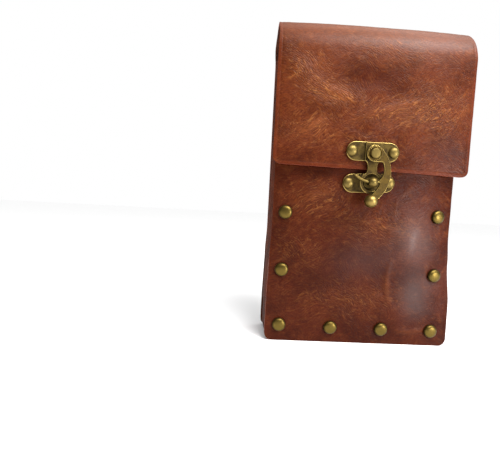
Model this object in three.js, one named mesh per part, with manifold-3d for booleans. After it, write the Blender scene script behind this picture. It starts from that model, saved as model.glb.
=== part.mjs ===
// A flat belt pouch of distressed leather with a riveted gusset, a fold-over flap and a brass swing clasp.
// Millimetres. It stands upright: +Z up, the front faces -Y, +X is on the right of someone who faces it.
// The origin is in the middle of the flat underside.
import * as THREE from "three";
import { mergeVertices } from "three/addons/utils/BufferGeometryUtils.js";
import Module from "manifold-3d";

const wasm = await Module();
wasm.setup();

// Leather
const LEATHER = 1.8;
const GUSSET_LEATHER = 1.6;
const GAP = 0.3; // air left between pieces that touch on the real pouch

// Body
const PANEL_WIDTH = 104.6;
const PANEL_HEIGHT = 165;
const PANEL_CORNER = 4.5;
const DEPTH = 32; // over both panels, at their edges
const BULGE = 6; // how far the middle of the front stands out past its edges
const BULGE_POWER = 2.7;

// Gusset
const EDGE_OVERHANG = 0.6; // panel edge past the gusset's wall
const FLANGE = 14;
const FLANGE_CORNER = 1;
const GUSSET_BEND = 2.5;
const GUSSET_BULGE = 1.2;

// Flap
const FLAP_OVERHANG = 3.2; // how much wider than the panels it is, on each side
const FLAP_SHIFT = 1.15;
const FLAP_BELOW_PIVOT = 8.4; // from the clasp's pivot down to the middle of the flap's lower edge
const FLAP_SLANT = 2.3; // the left end of that edge above the right one
const FLAP_CORNER = 4;
const FLAP_GAP = 1.6; // between the flap's inside and the crown of the front panel
const FLAP_BOW = 2.6; // how far the flap's side edges lie behind its middle
const FOLD_RISE = 19.2; // height of the fold above the mouth

// Rivets of the body
const RIVET_HEAD = 7.9;
const RIVET_DOME = 2.1;
const RIVET_SHANK = 3;
const RIVET_CAP = 6;
const RIVET_CAP_THICKNESS = 0.7;
const RIVET_INSET = 7.8; // from the sides
const RIVET_BASE = 9.2; // height of the lowest row
const RIVET_PITCH = 33.2;

// Belt loops on the back
const LOOP_WIDTH = 22;
const LOOP_SPREAD = 56; // between the centre lines of the two loops
const LOOP_FOOT = 13;
const LOOP_TUNNEL = 50;
const LOOP_CLEAR = 6.5;
const LOOP_BELOW_MOUTH = 3; // from the mouth down to their upper ends
const LOOP_RAMP = 5;

// Clasp
const CLASP_HEIGHT = 109.2; // pivot above the ground
const PLATE_LENGTH = 29.2;
const PLATE_WIDTH = 10.6;
const PLATE_THICKNESS = 1.2;
const PLATE_RISE = 1.4; // upper plate's centre above the pivot
const PLATE_RIVET_INSET = 3; // from the plate's ends
const PLATE_RIVET_HEAD = 6.1;
const PLATE_RIVET_DOME = 1.6;
const PLATE_RIVET_SHANK = 2.4;
const PLATE_RIVET_CAP = 4.6;
const LOWER_PLATE_TILT = 2.6; // degrees, its left end hangs lower
const BAND_WIDTH = 8.8;
const BAND_RISE = 1;
const TONGUE_WIDTH = 5.2;
const TONGUE_THICKNESS = 1.3;
const RING_RADIUS = 6.3;
const RING_BORE = 4.7;
const RING_FLARE = 4.4; // height above the ring's centre where the tongue's flare ends
const COLLAR_RADIUS = 3.9;
const COLLAR_RISE = 0.9;
const PIVOT_SHANK = 3.6;
const PIVOT_HEAD = 5.3;
const PIVOT_HEAD_HEIGHT = 1;
const PIVOT_TAIL = 5;
const PIVOT_TAIL_HEIGHT = 0.7;
const REACH = 15.5; // from the pivot to the post
const HOOK_THICKNESS = 1.8;
const HOOK_EYE = 8.8;
const PRONG = 1.4;
const PRONG_TIP = 38.7; // degrees past the post
const PRONG_ROOT = 14; // degrees before the post, inside the arm
const KNOB_RADIUS = 3.05;
const POST_BALL = 2.8;
const POST_NECK = 1.8;
const POST_COLLAR = 2.9;
const POST_COLLAR_HEIGHT = 0.8;
const POST_TAIL = 1.4;
const POST_CAP = 3.4;

// Facets
const ROUND_SIDES = 10;
const HOLE_SIDES = 8;
const PANEL_COLUMNS = 12;
const PANEL_ROWS = 11;
const BACK_ROWS = 3;
const FLAP_ROWS = 6;
const ARCH_STEPS = 10;
const GUSSET_ROWS = 8;
const GUSSET_STEPS = 4; // along its bottom

// The outline of both panels and the gusset isn't quite straight: how far each side stands out, as a share of
// the half width, at these shares of the height.
const OUTLINE = [
  { up: 0, left: 0.017, right: 0.062 },
  { up: 0.14, left: 0.017, right: 0.058 },
  { up: 0.3, left: 0.008, right: 0.014 },
  { up: 0.4, left: -0.004, right: -0.004 },
  { up: 1, left: 0, right: 0 },
];

// The rivets of each panel: across as a share of the distance from the middle to the side rows,
// rows as a share of RIVET_PITCH above the lowest row.
const PANEL_RIVETS = [
  { name: "left_1", across: -1.01, rows: 0.015 },
  { name: "left_2", across: -1.018, rows: 0.994 },
  { name: "left_3", across: -1.01, rows: 1.99 },
  { name: "right_1", across: 1.02, rows: -0.006 },
  { name: "right_2", across: 0.996, rows: 1 },
  { name: "right_3", across: 0.973, rows: 2.033 },
  { name: "bottom_1", across: -0.333, rows: 0 },
  { name: "bottom_2", across: 0.344, rows: 0 },
];

// Low dents and swells of the front, as shares: across of the half width, up of the height,
// reach of the half width, push (outwards) of BULGE.
const FRONT_RELIEF = [
  { across: 0.45, up: 0.31, reach: 0.34, push: 0.13 },
  { across: 0.14, up: 0.17, reach: 0.3, push: -0.12 },
  { across: -0.5, up: 0.4, reach: 0.3, push: -0.1 },
  { across: -0.3, up: 0.22, reach: 0.36, push: 0.1 },
  { across: 0.86, up: 0.1, reach: 0.2, push: 0.12 },
];

// The same for the flap: up runs from its lower edge to the mouth, push is a share of FLAP_GAP.
const FLAP_RELIEF = [
  { across: -0.55, up: 0.25, reach: 0.3, push: -0.3 },
  { across: 0.1, up: 0.62, reach: 0.5, push: 0.35 },
  { across: 0.66, up: 0.34, reach: 0.3, push: -0.25 },
];

// The hook's arm seen from the front, as shares of REACH from the pivot: the centre of its outer arc,
// the centre and radius of its inner arc, and the corners of its lower end.
const ARM = {
  outer: { x: -0.577, y: -0.685 },
  inner: { x: -0.196, y: -0.548, radius: 0.565 },
  fork: { x: 0.177, y: -0.917 },
  notch: { x: 0.244, y: -1.054 },
  waist: { x: 0.15, y: -1.3 },
  heel: { x: -0.06, y: -1.48 },
  toe: { x: 0.199, y: -1.571 },
  knob: { x: -0.018, y: -1.655 },
};

// Worked out from the sizes above
const halfWidth = PANEL_WIDTH / 2;
const flapWidth = PANEL_WIDTH + 2 * FLAP_OVERHANG;
const flapBottom = CLASP_HEIGHT - FLAP_BELOW_PIVOT;
const loopBase = PANEL_HEIGHT - LOOP_BELOW_MOUTH - 2 * LOOP_FOOT - LOOP_TUNNEL;
const plateRivetReach = PLATE_LENGTH / 2 - PLATE_RIVET_INSET;
const frontEdge = -DEPTH / 2;
const backFace = DEPTH / 2;
const panelFace = frontEdge - BULGE;
const flapFace = panelFace - FLAP_GAP - LEATHER;
const gussetHalf = halfWidth - EDGE_OVERHANG;
const radians = THREE.MathUtils.degToRad;
const lerp = THREE.MathUtils.lerp;

const BROWN_LEATHER = new THREE.MeshStandardMaterial({ color: 0x8a4a33, roughness: 0.5, metalness: 0 });
const DARK_LEATHER = new THREE.MeshStandardMaterial({ color: 0x6d3a2a, roughness: 0.6, metalness: 0 });
const ANTIQUE_BRASS = new THREE.MeshStandardMaterial({ color: 0x9c8544, roughness: 0.35, metalness: 1 });

// Solids and meshes
function solidOf(geometry) {
  const bare = geometry.clone();
  bare.deleteAttribute("normal");
  bare.deleteAttribute("uv");
  const merged = mergeVertices(bare, 1e-4);
  return new wasm.Manifold(
    new wasm.Mesh({
      numProp: 3,
      vertProperties: merged.attributes.position.array,
      triVerts: new Uint32Array(merged.index.array),
    }),
  );
}

function geometryOf(solid) {
  const mesh = solid.getMesh();
  const geometry = new THREE.BufferGeometry();
  geometry.setAttribute("position", new THREE.BufferAttribute(mesh.vertProperties, 3));
  geometry.setIndex(new THREE.BufferAttribute(mesh.triVerts, 1));
  geometry.computeVertexNormals();
  return geometry;
}

function joined(first, ...others) {
  return geometryOf(others.reduce((solid, other) => solid.add(solidOf(other)), solidOf(first)));
}

function drilled(geometry, ...cutters) {
  return geometryOf(cutters.reduce((solid, cutter) => solid.subtract(solidOf(cutter)), solidOf(geometry)));
}

function piece(name, geometry, material) {
  const mesh = new THREE.Mesh(geometry, material);
  mesh.name = name;
  return mesh;
}

// A closed sheet from two grids of points, its outer face and its inner face, joined round the rim.
function sheet(outer, inner) {
  const rows = outer.length;
  const columns = outer[0].length;
  const points = [...outer.flat(), ...inner.flat()];
  const at = (face, row, column) => face * rows * columns + row * columns + column;
  const faces = [];
  const quad = (a, b, c, d) => faces.push(a, b, c, a, c, d);
  for (let row = 0; row + 1 < rows; row += 1) {
    for (let column = 0; column + 1 < columns; column += 1) {
      const corners = [[row, column], [row, column + 1], [row + 1, column + 1], [row + 1, column]];
      quad(...corners.map(([r, c]) => at(0, r, c)));
      quad(...corners.reverse().map(([r, c]) => at(1, r, c)));
    }
  }
  const rim = [];
  for (let column = 0; column + 1 < columns; column += 1) rim.push([0, column]);
  for (let row = 0; row + 1 < rows; row += 1) rim.push([row, columns - 1]);
  for (let column = columns - 1; column > 0; column -= 1) rim.push([rows - 1, column]);
  for (let row = rows - 1; row > 0; row -= 1) rim.push([row, 0]);
  rim.forEach(([row, column], index) => {
    const [nextRow, nextColumn] = rim[(index + 1) % rim.length];
    quad(at(1, row, column), at(1, nextRow, nextColumn), at(0, nextRow, nextColumn), at(0, row, column));
  });
  const geometry = new THREE.BufferGeometry().setFromPoints(points);
  geometry.setIndex(faces);
  geometry.computeVertexNormals();
  return geometry;
}

function grid(rowValues, columnValues, place) {
  return rowValues.map((row) => columnValues.map((column) => place(row, column)));
}

function evenly(from, to, steps) {
  return Array.from({ length: steps + 1 }, (unused, index) => lerp(from, to, index / steps));
}

// Heights of the rows of a sheet whose lower corners are rounded
function rowHeights(bottom, corner, top, rows) {
  const inCorner = [0, 0.1, 0.35, 0.65];
  return [...inCorner.map((share) => bottom + corner * share), ...evenly(bottom + corner, top, rows)];
}

// How far a rounded lower corner draws a sheet's side in at this height
function cornerInset(height, bottom, corner) {
  const below = Math.max(0, bottom + corner - height);
  return corner - Math.sqrt(Math.max(0, corner * corner - below * below));
}

// Leather surfaces
function relief(table, across, up, aspect) {
  const swell = ({ across: x, up: y, reach, push }) =>
    push * Math.exp(-((across - x) ** 2 + ((up - y) * aspect) ** 2) / reach ** 2);
  return table.reduce((sum, row) => sum + swell(row), 0);
}

// The x of a panel's side at a height; across runs from -1 at the left side to 1 at the right one.
function outlineX(across, z, half) {
  const up = THREE.MathUtils.clamp(z / PANEL_HEIGHT, 0, 1);
  const index = Math.max(1, OUTLINE.findIndex((row) => row.up >= up));
  const [below, above] = [OUTLINE[index - 1], OUTLINE[index]];
  const side = across < 0 ? "left" : "right";
  const share = THREE.MathUtils.smoothstep(up, below.up, above.up);
  return across * (half + halfWidth * lerp(below[side], above[side], share));
}

// The front panel's outer face
function frontY(x, z) {
  const across = x / halfWidth;
  const up = z / PANEL_HEIGHT;
  const crown = 1 - Math.min(1, Math.abs(across)) ** BULGE_POWER;
  const rise = Math.sin(Math.min(1, up / 0.55) * (Math.PI / 2));
  const nearMouth = 1 - 0.15 * THREE.MathUtils.smoothstep(up, 0.75, 1);
  const soft = relief(FRONT_RELIEF, across, up, PANEL_HEIGHT / halfWidth);
  return frontEdge - BULGE * crown * rise * (nearMouth + soft);
}

function frontNormal(x, z) {
  const step = 1;
  const slopeX = (frontY(x + step, z) - frontY(x - step, z)) / (2 * step);
  const slopeZ = (frontY(x, z + step) - frontY(x, z - step)) / (2 * step);
  return new THREE.Vector3(slopeX, -1, slopeZ).normalize();
}

function frontPanel() {
  const heights = rowHeights(0, PANEL_CORNER, PANEL_HEIGHT, PANEL_ROWS);
  const columns = evenly(-1, 1, PANEL_COLUMNS);
  const face = (inwards) =>
    grid(heights, columns, (z, share) => {
      const x = outlineX(share, z, halfWidth - cornerInset(z, 0, PANEL_CORNER));
      return new THREE.Vector3(x, frontY(x, z) + inwards, z);
    });
  return sheet(face(0), face(LEATHER));
}

// The gusset is one strip that runs down one side, along the bottom and up the other. Its flanges turn in
// behind both panels. Each step of the route has a point on the wall and one on the flanges' inner edge.
function gussetRoute() {
  const side = (half, bottom, corner) => {
    const points = evenly(PANEL_HEIGHT, bottom + corner, GUSSET_ROWS).map((z) => [half, z]);
    for (const angle of [30, 60, 90]) {
      const x = half - corner + corner * Math.cos(radians(angle));
      points.push([x, bottom + corner - corner * Math.sin(radians(angle))]);
    }
    return points;
  };
  const wall = side(gussetHalf, 0, PANEL_CORNER);
  const edge = side(gussetHalf - FLANGE, FLANGE, FLANGE_CORNER);
  const halfRoute = (across) => wall.map(([half, z], index) => ({
    wall: { x: outlineX(across, z, half), z },
    edge: { x: outlineX(across, z, edge[index][0]), z: edge[index][1] },
  }));
  const left = halfRoute(-1);
  const right = halfRoute(1).reverse();
  const [start, end] = [left.at(-1), right[0]];
  const between = (from, to, share) => ({ x: lerp(from.x, to.x, share), z: lerp(from.z, to.z, share) });
  const middle = evenly(0, 1, GUSSET_STEPS).slice(1, -1).map((share) => ({
    wall: between(start.wall, end.wall, share),
    edge: between(start.edge, end.edge, share),
  }));
  return [...left, ...middle, ...right];
}

function gusset() {
  const flangeStops = [1, 0.55, GUSSET_BEND / FLANGE];
  const bend = (1 - Math.SQRT1_2) * GUSSET_BEND;
  const wallShares = [0, 0.25, 0.5, 0.75, 1];
  const section = (step, thickness) => {
    const inset = (share) => ({
      x: lerp(step.wall.x, step.edge.x, share),
      z: lerp(step.wall.z, step.edge.z, share),
    });
    const swell = GUSSET_BULGE * THREE.MathUtils.smoothstep(step.wall.z / PANEL_HEIGHT, 0.03, 0.2);
    const frontStart = (place) => frontY(place.x, place.z) + LEATHER + GAP + thickness;
    const backStart = backFace - LEATHER - GAP - thickness;
    const points = [];
    for (const share of flangeStops) {
      const place = inset(share);
      points.push(new THREE.Vector3(place.x, frontStart(place), place.z));
    }
    const wallPlace = inset(thickness / FLANGE);
    const rim = frontStart(wallPlace) - thickness;
    const corner = inset((bend + thickness * Math.SQRT1_2) / FLANGE);
    points.push(new THREE.Vector3(corner.x, rim + bend + thickness * Math.SQRT1_2, corner.z));
    for (const share of wallShares) {
      const y = lerp(rim + GUSSET_BEND, backStart + thickness - GUSSET_BEND, share);
      const out = Math.sign(wallPlace.x) * swell * Math.sin(Math.PI * share);
      points.push(new THREE.Vector3(wallPlace.x + out, y, wallPlace.z));
    }
    points.push(new THREE.Vector3(corner.x, backStart + thickness - bend - thickness * Math.SQRT1_2, corner.z));
    for (const share of [...flangeStops].reverse()) {
      const place = inset(share);
      points.push(new THREE.Vector3(place.x, backStart, place.z));
    }
    return points;
  };
  const route = gussetRoute();
  const outer = route.map((step) => section(step, 0));
  const inner = route.map((step) => section(step, GUSSET_LEATHER));
  return sheet(outer, inner);
}

// The back panel and the flap are one sheet: up the back, over the fold and down the front.
function flapEdge(x) {
  return flapBottom - (FLAP_SLANT * (x - FLAP_SHIFT)) / flapWidth;
}

function flapY(x, z) {
  const across = (x - FLAP_SHIFT) / (flapWidth / 2);
  const up = (z - flapBottom) / (PANEL_HEIGHT - flapBottom);
  const aspect = (PANEL_HEIGHT - flapBottom) / (flapWidth / 2);
  const fade = 1 - THREE.MathUtils.smoothstep(Math.abs(across), 0.2, 0.35);
  const plateSeat = fade * (1 - THREE.MathUtils.smoothstep(up, 0.3, 0.5));
  const soft = relief(FLAP_RELIEF, across, up, aspect) * (1 - plateSeat);
  return flapFace + FLAP_BOW * Math.abs(across) ** 3 - FLAP_GAP * Math.max(-0.5, soft);
}

function backAndFlap() {
  const back = rowHeights(0, PANEL_CORNER, PANEL_HEIGHT, BACK_ROWS).map((z) => ({ part: "back", z }));
  const arch = evenly(0, Math.PI, ARCH_STEPS).slice(1, -1).map((angle) => ({ part: "arch", angle }));
  const flap = rowHeights(flapBottom, FLAP_CORNER, PANEL_HEIGHT, FLAP_ROWS).reverse().map((z) => ({ part: "flap", z }));
  const columns = evenly(-1, 1, PANEL_COLUMNS);
  const place = (row, share, thickness) => {
    if (row.part === "back") {
      const x = outlineX(share, row.z, halfWidth - cornerInset(row.z, 0, PANEL_CORNER));
      return new THREE.Vector3(x, backFace - thickness, row.z);
    }
    if (row.part === "flap") {
      const half = flapWidth / 2 - cornerInset(row.z, flapBottom, FLAP_CORNER);
      const x = FLAP_SHIFT + share * half;
      const hung = (PANEL_HEIGHT - row.z) / (PANEL_HEIGHT - flapBottom);
      const z = row.z + hung * (flapEdge(x) - flapBottom);
      return new THREE.Vector3(x, flapY(x, z) + thickness, z);
    }
    const over = row.angle / Math.PI;
    const x = lerp(0, FLAP_SHIFT, over) + (share * lerp(PANEL_WIDTH, flapWidth, over)) / 2;
    const frontReach = flapY(x, PANEL_HEIGHT);
    const middle = (backFace + frontReach) / 2;
    const reach = (backFace - frontReach) / 2 - thickness;
    const rise = FOLD_RISE - thickness;
    return new THREE.Vector3(x, middle + reach * Math.cos(row.angle), PANEL_HEIGHT + rise * Math.sin(row.angle));
  };
  const rows = [...back, ...arch, ...flap];
  return sheet(
    grid(rows, columns, (row, share) => place(row, share, LEATHER)),
    grid(rows, columns, (row, share) => place(row, share, 0)),
  );
}

// A belt loop seen from the side: a foot, a ramp, the strap over the tunnel, a ramp and a foot
function beltLoop(x) {
  const stops = [
    [0, 0],
    [LOOP_FOOT, 0],
    [LOOP_FOOT + LOOP_RAMP, LOOP_CLEAR],
    [LOOP_FOOT + LOOP_TUNNEL - LOOP_RAMP, LOOP_CLEAR],
    [LOOP_FOOT + LOOP_TUNNEL, 0],
    [2 * LOOP_FOOT + LOOP_TUNNEL, 0],
  ];
  const columns = evenly(x - LOOP_WIDTH / 2, x + LOOP_WIDTH / 2, 4);
  const face = (outwards) =>
    grid(stops, columns, ([up, lift], across) =>
      new THREE.Vector3(across, backFace + GAP + lift + outwards, loopBase + up),
    );
  return sheet(face(0), face(LEATHER));
}

// Rivets: a domed head, a shank and a cap inside
function rivetGeometry({ head, dome, shank, cap, grip }) {
  const profile = [
    new THREE.Vector2(0, -grip - GAP - RIVET_CAP_THICKNESS),
    new THREE.Vector2(cap / 2, -grip - GAP - RIVET_CAP_THICKNESS),
    new THREE.Vector2(cap / 2, -grip - GAP),
    new THREE.Vector2(shank / 2, -grip - GAP),
    new THREE.Vector2(shank / 2, GAP),
  ];
  for (const angle of [0, 42]) {
    const across = (head / 2) * Math.cos(radians(angle));
    profile.push(new THREE.Vector2(across, GAP + dome * Math.sin(radians(angle))));
  }
  profile.push(new THREE.Vector2(0, GAP + dome));
  return new THREE.LatheGeometry(profile, ROUND_SIDES);
}

function shankHole(shank, length) {
  return new THREE.CylinderGeometry(shank / 2 + GAP, shank / 2 + GAP, length, HOLE_SIDES);
}

const UP_AXIS = new THREE.Vector3(0, 1, 0);

function turnTo(normal) {
  return new THREE.Quaternion().setFromUnitVectors(UP_AXIS, normal);
}

const rivetColumn = halfWidth - RIVET_INSET;

// The same places serve the rivets and their holes, on the front and on the back.
function rivetPlaces() {
  return PANEL_RIVETS.map(({ name, across, rows }) => ({
    name,
    x: across * rivetColumn,
    z: RIVET_BASE + rows * RIVET_PITCH,
  }));
}

const BODY_RIVET = {
  head: RIVET_HEAD,
  dome: RIVET_DOME,
  shank: RIVET_SHANK,
  cap: RIVET_CAP,
  grip: LEATHER + GAP + GUSSET_LEATHER,
};
const LOOP_RIVET = { ...BODY_RIVET, grip: 2 * LEATHER + GAP };
const PLATE_RIVET = {
  head: PLATE_RIVET_HEAD,
  dome: PLATE_RIVET_DOME,
  shank: PLATE_RIVET_SHANK,
  cap: PLATE_RIVET_CAP,
  grip: PLATE_THICKNESS + GAP + LEATHER,
};

// Every rivet: its own place, the way it points, its shape
const backwards = new THREE.Vector3(0, 1, 0);
const forwards = new THREE.Vector3(0, -1, 0);
const loopPlaces = [["left", -1], ["right", 1]].flatMap(([name, sign]) => [
  { name: `${name}_lower`, x: (sign * LOOP_SPREAD) / 2, z: loopBase + LOOP_FOOT / 2 },
  { name: `${name}_upper`, x: (sign * LOOP_SPREAD) / 2, z: loopBase + 1.5 * LOOP_FOOT + LOOP_TUNNEL },
]);
const plateLevels = [
  { name: "upper", y: flapFace - GAP - PLATE_THICKNESS, z: CLASP_HEIGHT + PLATE_RISE, tilt: 0 },
  { name: "lower", y: panelFace - GAP - PLATE_THICKNESS, z: CLASP_HEIGHT - REACH, tilt: radians(LOWER_PLATE_TILT) },
];
const rivets = [
  ...rivetPlaces().map(({ name, x, z }) => ({
    name: `front_rivet_${name}`,
    at: new THREE.Vector3(x, frontY(x, z), z),
    normal: frontNormal(x, z),
    shape: BODY_RIVET,
  })),
  ...rivetPlaces().map(({ name, x, z }) => ({
    name: `back_rivet_${name}`,
    at: new THREE.Vector3(x, backFace, z),
    normal: backwards,
    shape: BODY_RIVET,
  })),
  ...loopPlaces.map(({ name, x, z }) => ({
    name: `loop_rivet_${name}`,
    at: new THREE.Vector3(x, backFace + GAP + LEATHER, z),
    normal: backwards,
    shape: LOOP_RIVET,
  })),
  ...plateLevels.flatMap(({ name, y, z, tilt }) =>
    [["left", -1], ["right", 1]].map(([side, sign]) => {
      const reach = sign * plateRivetReach;
      return {
        name: `clasp_rivet_${name}_${side}`,
        at: new THREE.Vector3(reach * Math.cos(tilt), y, z + reach * Math.sin(tilt)),
        normal: forwards,
        shape: PLATE_RIVET,
      };
    }),
  ),
];

// The hole that a rivet needs through all that it holds
function holeFor(rivet) {
  const hole = shankHole(rivet.shape.shank, 2 * rivet.shape.grip + RIVET_HEAD / 2);
  hole.applyQuaternion(turnTo(rivet.normal));
  hole.translate(rivet.at.x, rivet.at.y, rivet.at.z);
  return hole;
}

function holesFor(...starts) {
  return rivets.filter(({ name }) => starts.some((start) => name.startsWith(start))).map(holeFor);
}

// The clasp is drawn in its own plane: x to the right and y up from the pivot, z out from the flap.
const flapLevel = 0;
const panelLevel = flapFace - panelFace;
const plateBack = flapLevel + GAP;
const plateTop = plateBack + PLATE_THICKNESS;
const bandTop = plateTop + BAND_RISE;
const collarTop = bandTop + COLLAR_RISE;
const hookBack = collarTop + GAP;
const hookFront = hookBack + HOOK_THICKNESS;
const hookMiddle = (hookBack + hookFront) / 2;
const lowerBack = panelLevel + GAP;
const lowerTop = lowerBack + PLATE_THICKNESS;

function slab(shape, from, to) {
  const options = { depth: to - from, bevelEnabled: false, curveSegments: ROUND_SIDES };
  return new THREE.ExtrudeGeometry(shape, options).translate(0, 0, from);
}

function disc(radius, from, to, x = 0, y = 0, sides = 2 * ROUND_SIDES) {
  const round = new THREE.CylinderGeometry(radius, radius, to - from, sides);
  return round.rotateX(Math.PI / 2).translate(x, y, (from + to) / 2);
}

// A turned piece whose axis stands out from the clasp's plane; each profile point is [radius, level].
function turned(profile, sides) {
  const points = profile.map(([radius, level]) => new THREE.Vector2(radius, level));
  return new THREE.LatheGeometry(points, sides).rotateX(Math.PI / 2);
}

function stadium(centreY) {
  const round = PLATE_WIDTH / 2;
  const straight = PLATE_LENGTH / 2 - round;
  const shape = new THREE.Shape();
  shape.absarc(straight, centreY, round, -Math.PI / 2, Math.PI / 2, false);
  shape.absarc(-straight, centreY, round, Math.PI / 2, 1.5 * Math.PI, false);
  return shape;
}

function plateHoles(centreY, from, to) {
  const radius = PLATE_RIVET_SHANK / 2 + GAP;
  return [-1, 1].map((sign) => disc(radius, from, to, sign * plateRivetReach, centreY, ROUND_SIDES));
}

// Upper plate: a raised band down its middle goes on below it as a tongue and ends in a ring.
function upperPlate() {
  const top = PLATE_RISE + PLATE_WIDTH / 2 - GAP;
  const bottom = PLATE_RISE - PLATE_WIDTH / 2;
  const flareY = RING_FLARE - REACH;
  const flareX = Math.sqrt(RING_RADIUS ** 2 - RING_FLARE ** 2);
  const neckY = (bottom + flareY) / 2;
  const tongue = new THREE.Shape();
  tongue.moveTo(-BAND_WIDTH / 2, top);
  tongue.lineTo(-BAND_WIDTH / 2, bottom);
  tongue.quadraticCurveTo(-TONGUE_WIDTH / 2, bottom, -TONGUE_WIDTH / 2, neckY);
  tongue.quadraticCurveTo(-TONGUE_WIDTH / 2, flareY + GAP, -flareX, flareY);
  tongue.lineTo(flareX, flareY);
  tongue.quadraticCurveTo(TONGUE_WIDTH / 2, flareY + GAP, TONGUE_WIDTH / 2, neckY);
  tongue.quadraticCurveTo(TONGUE_WIDTH / 2, bottom, BAND_WIDTH / 2, bottom);
  tongue.lineTo(BAND_WIDTH / 2, top);
  const whole = joined(
    slab(stadium(PLATE_RISE), plateBack, plateTop),
    slab(tongue, bandTop - TONGUE_THICKNESS, bandTop),
    disc(RING_RADIUS, bandTop - TONGUE_THICKNESS, bandTop, 0, -REACH),
    disc(COLLAR_RADIUS, plateTop, collarTop),
  );
  return drilled(
    whole,
    disc(RING_BORE, flapLevel, collarTop, 0, -REACH),
    disc(PIVOT_SHANK / 2 + GAP, flapLevel, hookBack),
    disc(PIVOT_TAIL / 2 + GAP, flapLevel, plateBack + PIVOT_TAIL_HEIGHT + GAP),
    ...plateHoles(PLATE_RISE, flapLevel, plateTop + GAP),
  );
}

function pivot() {
  const head = hookFront + GAP;
  return turned(
    [
      [0, plateBack],
      [PIVOT_TAIL / 2, plateBack],
      [PIVOT_TAIL / 2, plateBack + PIVOT_TAIL_HEIGHT],
      [PIVOT_SHANK / 2, plateBack + PIVOT_TAIL_HEIGHT],
      [PIVOT_SHANK / 2, head],
      [PIVOT_HEAD / 2, head],
      [PIVOT_HEAD / 2, head + 0.6 * PIVOT_HEAD_HEIGHT],
      [0.4 * PIVOT_HEAD, head + PIVOT_HEAD_HEIGHT],
      [0, head + PIVOT_HEAD_HEIGHT],
    ],
    2 * ROUND_SIDES,
  );
}

function hook() {
  const spot = ({ x, y }) => [x * REACH, y * REACH];
  const eye = HOOK_EYE / 2;
  const [outerX, outerY] = spot(ARM.outer);
  const [innerX, innerY] = spot(ARM.inner);
  const innerRadius = ARM.inner.radius * REACH;
  const outerRadius = Math.hypot(outerX, outerY) + eye;
  const outerStart = Math.atan2(-outerY, -outerX);
  const [toeX, toeY] = spot(ARM.toe);
  const [forkX, forkY] = spot(ARM.fork);
  const [knobX, knobY] = spot(ARM.knob);
  const shape = new THREE.Shape();
  shape.absarc(0, 0, eye, 1.5 * Math.PI, outerStart, true);
  shape.absarc(outerX, outerY, outerRadius, outerStart, Math.atan2(toeY - outerY, toeX - outerX), true);
  shape.lineTo(knobX, knobY);
  shape.lineTo(...spot(ARM.heel));
  shape.quadraticCurveTo(...spot(ARM.waist), ...spot(ARM.notch));
  shape.lineTo(forkX, forkY);
  const innerStart = Math.atan2(forkY - innerY, forkX - innerX);
  shape.absarc(innerX, innerY, innerRadius, innerStart, Math.asin((-eye - innerY) / innerRadius), false);
  const prong = new THREE.Shape();
  const root = radians(PRONG_ROOT - 90);
  const tip = radians(-90 - PRONG_TIP);
  prong.absarc(0, 0, REACH + PRONG / 2, root, tip, true);
  prong.absarc(0, 0, REACH - PRONG / 2, tip, root, false);
  const knob = new THREE.SphereGeometry(KNOB_RADIUS, 12, 8).translate(knobX, knobY, hookMiddle);
  const whole = joined(
    slab(shape, hookBack, hookFront),
    slab(prong, hookMiddle - PRONG / 2, hookMiddle + PRONG / 2),
    knob,
  );
  return drilled(whole, disc(PIVOT_SHANK / 2 + GAP, hookBack - GAP, hookFront + GAP));
}

// The lower plate is drilled about its own middle, then tilted and set below the pivot.
function lowerPlate() {
  const plate = drilled(
    slab(stadium(0), lowerBack, lowerTop),
    ...plateHoles(0, panelLevel, lowerTop + GAP),
    disc(POST_TAIL + GAP, panelLevel, lowerTop + GAP, 0, 0, ROUND_SIDES),
  );
  return plate.rotateZ(radians(LOWER_PLATE_TILT)).translate(0, -REACH, 0);
}

// The post stands on the lower plate and is closed by a cap inside the pouch. Its ball has the
// cross hole that the prong slides through.
function post() {
  const shoulder = lowerTop + GAP;
  const capTop = panelLevel - LEATHER - GAP;
  const profile = [
    [0, capTop - RIVET_CAP_THICKNESS],
    [POST_CAP, capTop - RIVET_CAP_THICKNESS],
    [POST_CAP, capTop],
    [POST_TAIL, capTop],
    [POST_TAIL, shoulder],
    [POST_COLLAR, shoulder],
    [POST_COLLAR, shoulder + POST_COLLAR_HEIGHT],
    [POST_NECK, shoulder + POST_COLLAR_HEIGHT],
  ];
  const meet = Math.asin(POST_NECK / POST_BALL);
  for (const angle of evenly(-Math.PI / 2 + meet, Math.PI / 2, 7).slice(0, -1)) {
    profile.push([POST_BALL * Math.cos(angle), hookMiddle + POST_BALL * Math.sin(angle)]);
  }
  profile.push([0, hookMiddle + POST_BALL]);
  const holeRadius = PRONG * Math.SQRT1_2 + 2 * GAP;
  const hole = new THREE.CylinderGeometry(holeRadius, holeRadius, 3 * POST_BALL, ROUND_SIDES);
  hole.rotateZ(Math.PI / 2).translate(0, 0, hookMiddle);
  return drilled(turned(profile, 14), hole).translate(0, -REACH, 0);
}

function postHole() {
  const hole = shankHole(2 * POST_TAIL, 4 * LEATHER);
  return hole.translate(0, panelFace + LEATHER / 2, CLASP_HEIGHT - REACH);
}

// Assembly
const pouch = new THREE.Group();
pouch.add(
  piece("front_panel", drilled(frontPanel(), ...holesFor("front_", "clasp_rivet_lower"), postHole()), BROWN_LEATHER),
  piece("gusset", drilled(gusset(), ...holesFor("front_", "back_")), DARK_LEATHER),
  piece("back_and_flap", drilled(backAndFlap(), ...holesFor("back_", "loop_"), ...flapHoles()), BROWN_LEATHER),
);

// The upper plate's rivets end inside the flap, so their holes go through the flap alone.
function flapHoles() {
  return rivets
    .filter(({ name }) => name.startsWith("clasp_rivet_upper"))
    .map(({ at }) => shankHole(PLATE_RIVET_SHANK, 4 * LEATHER).translate(at.x, flapFace + LEATHER / 2, at.z));
}

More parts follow.
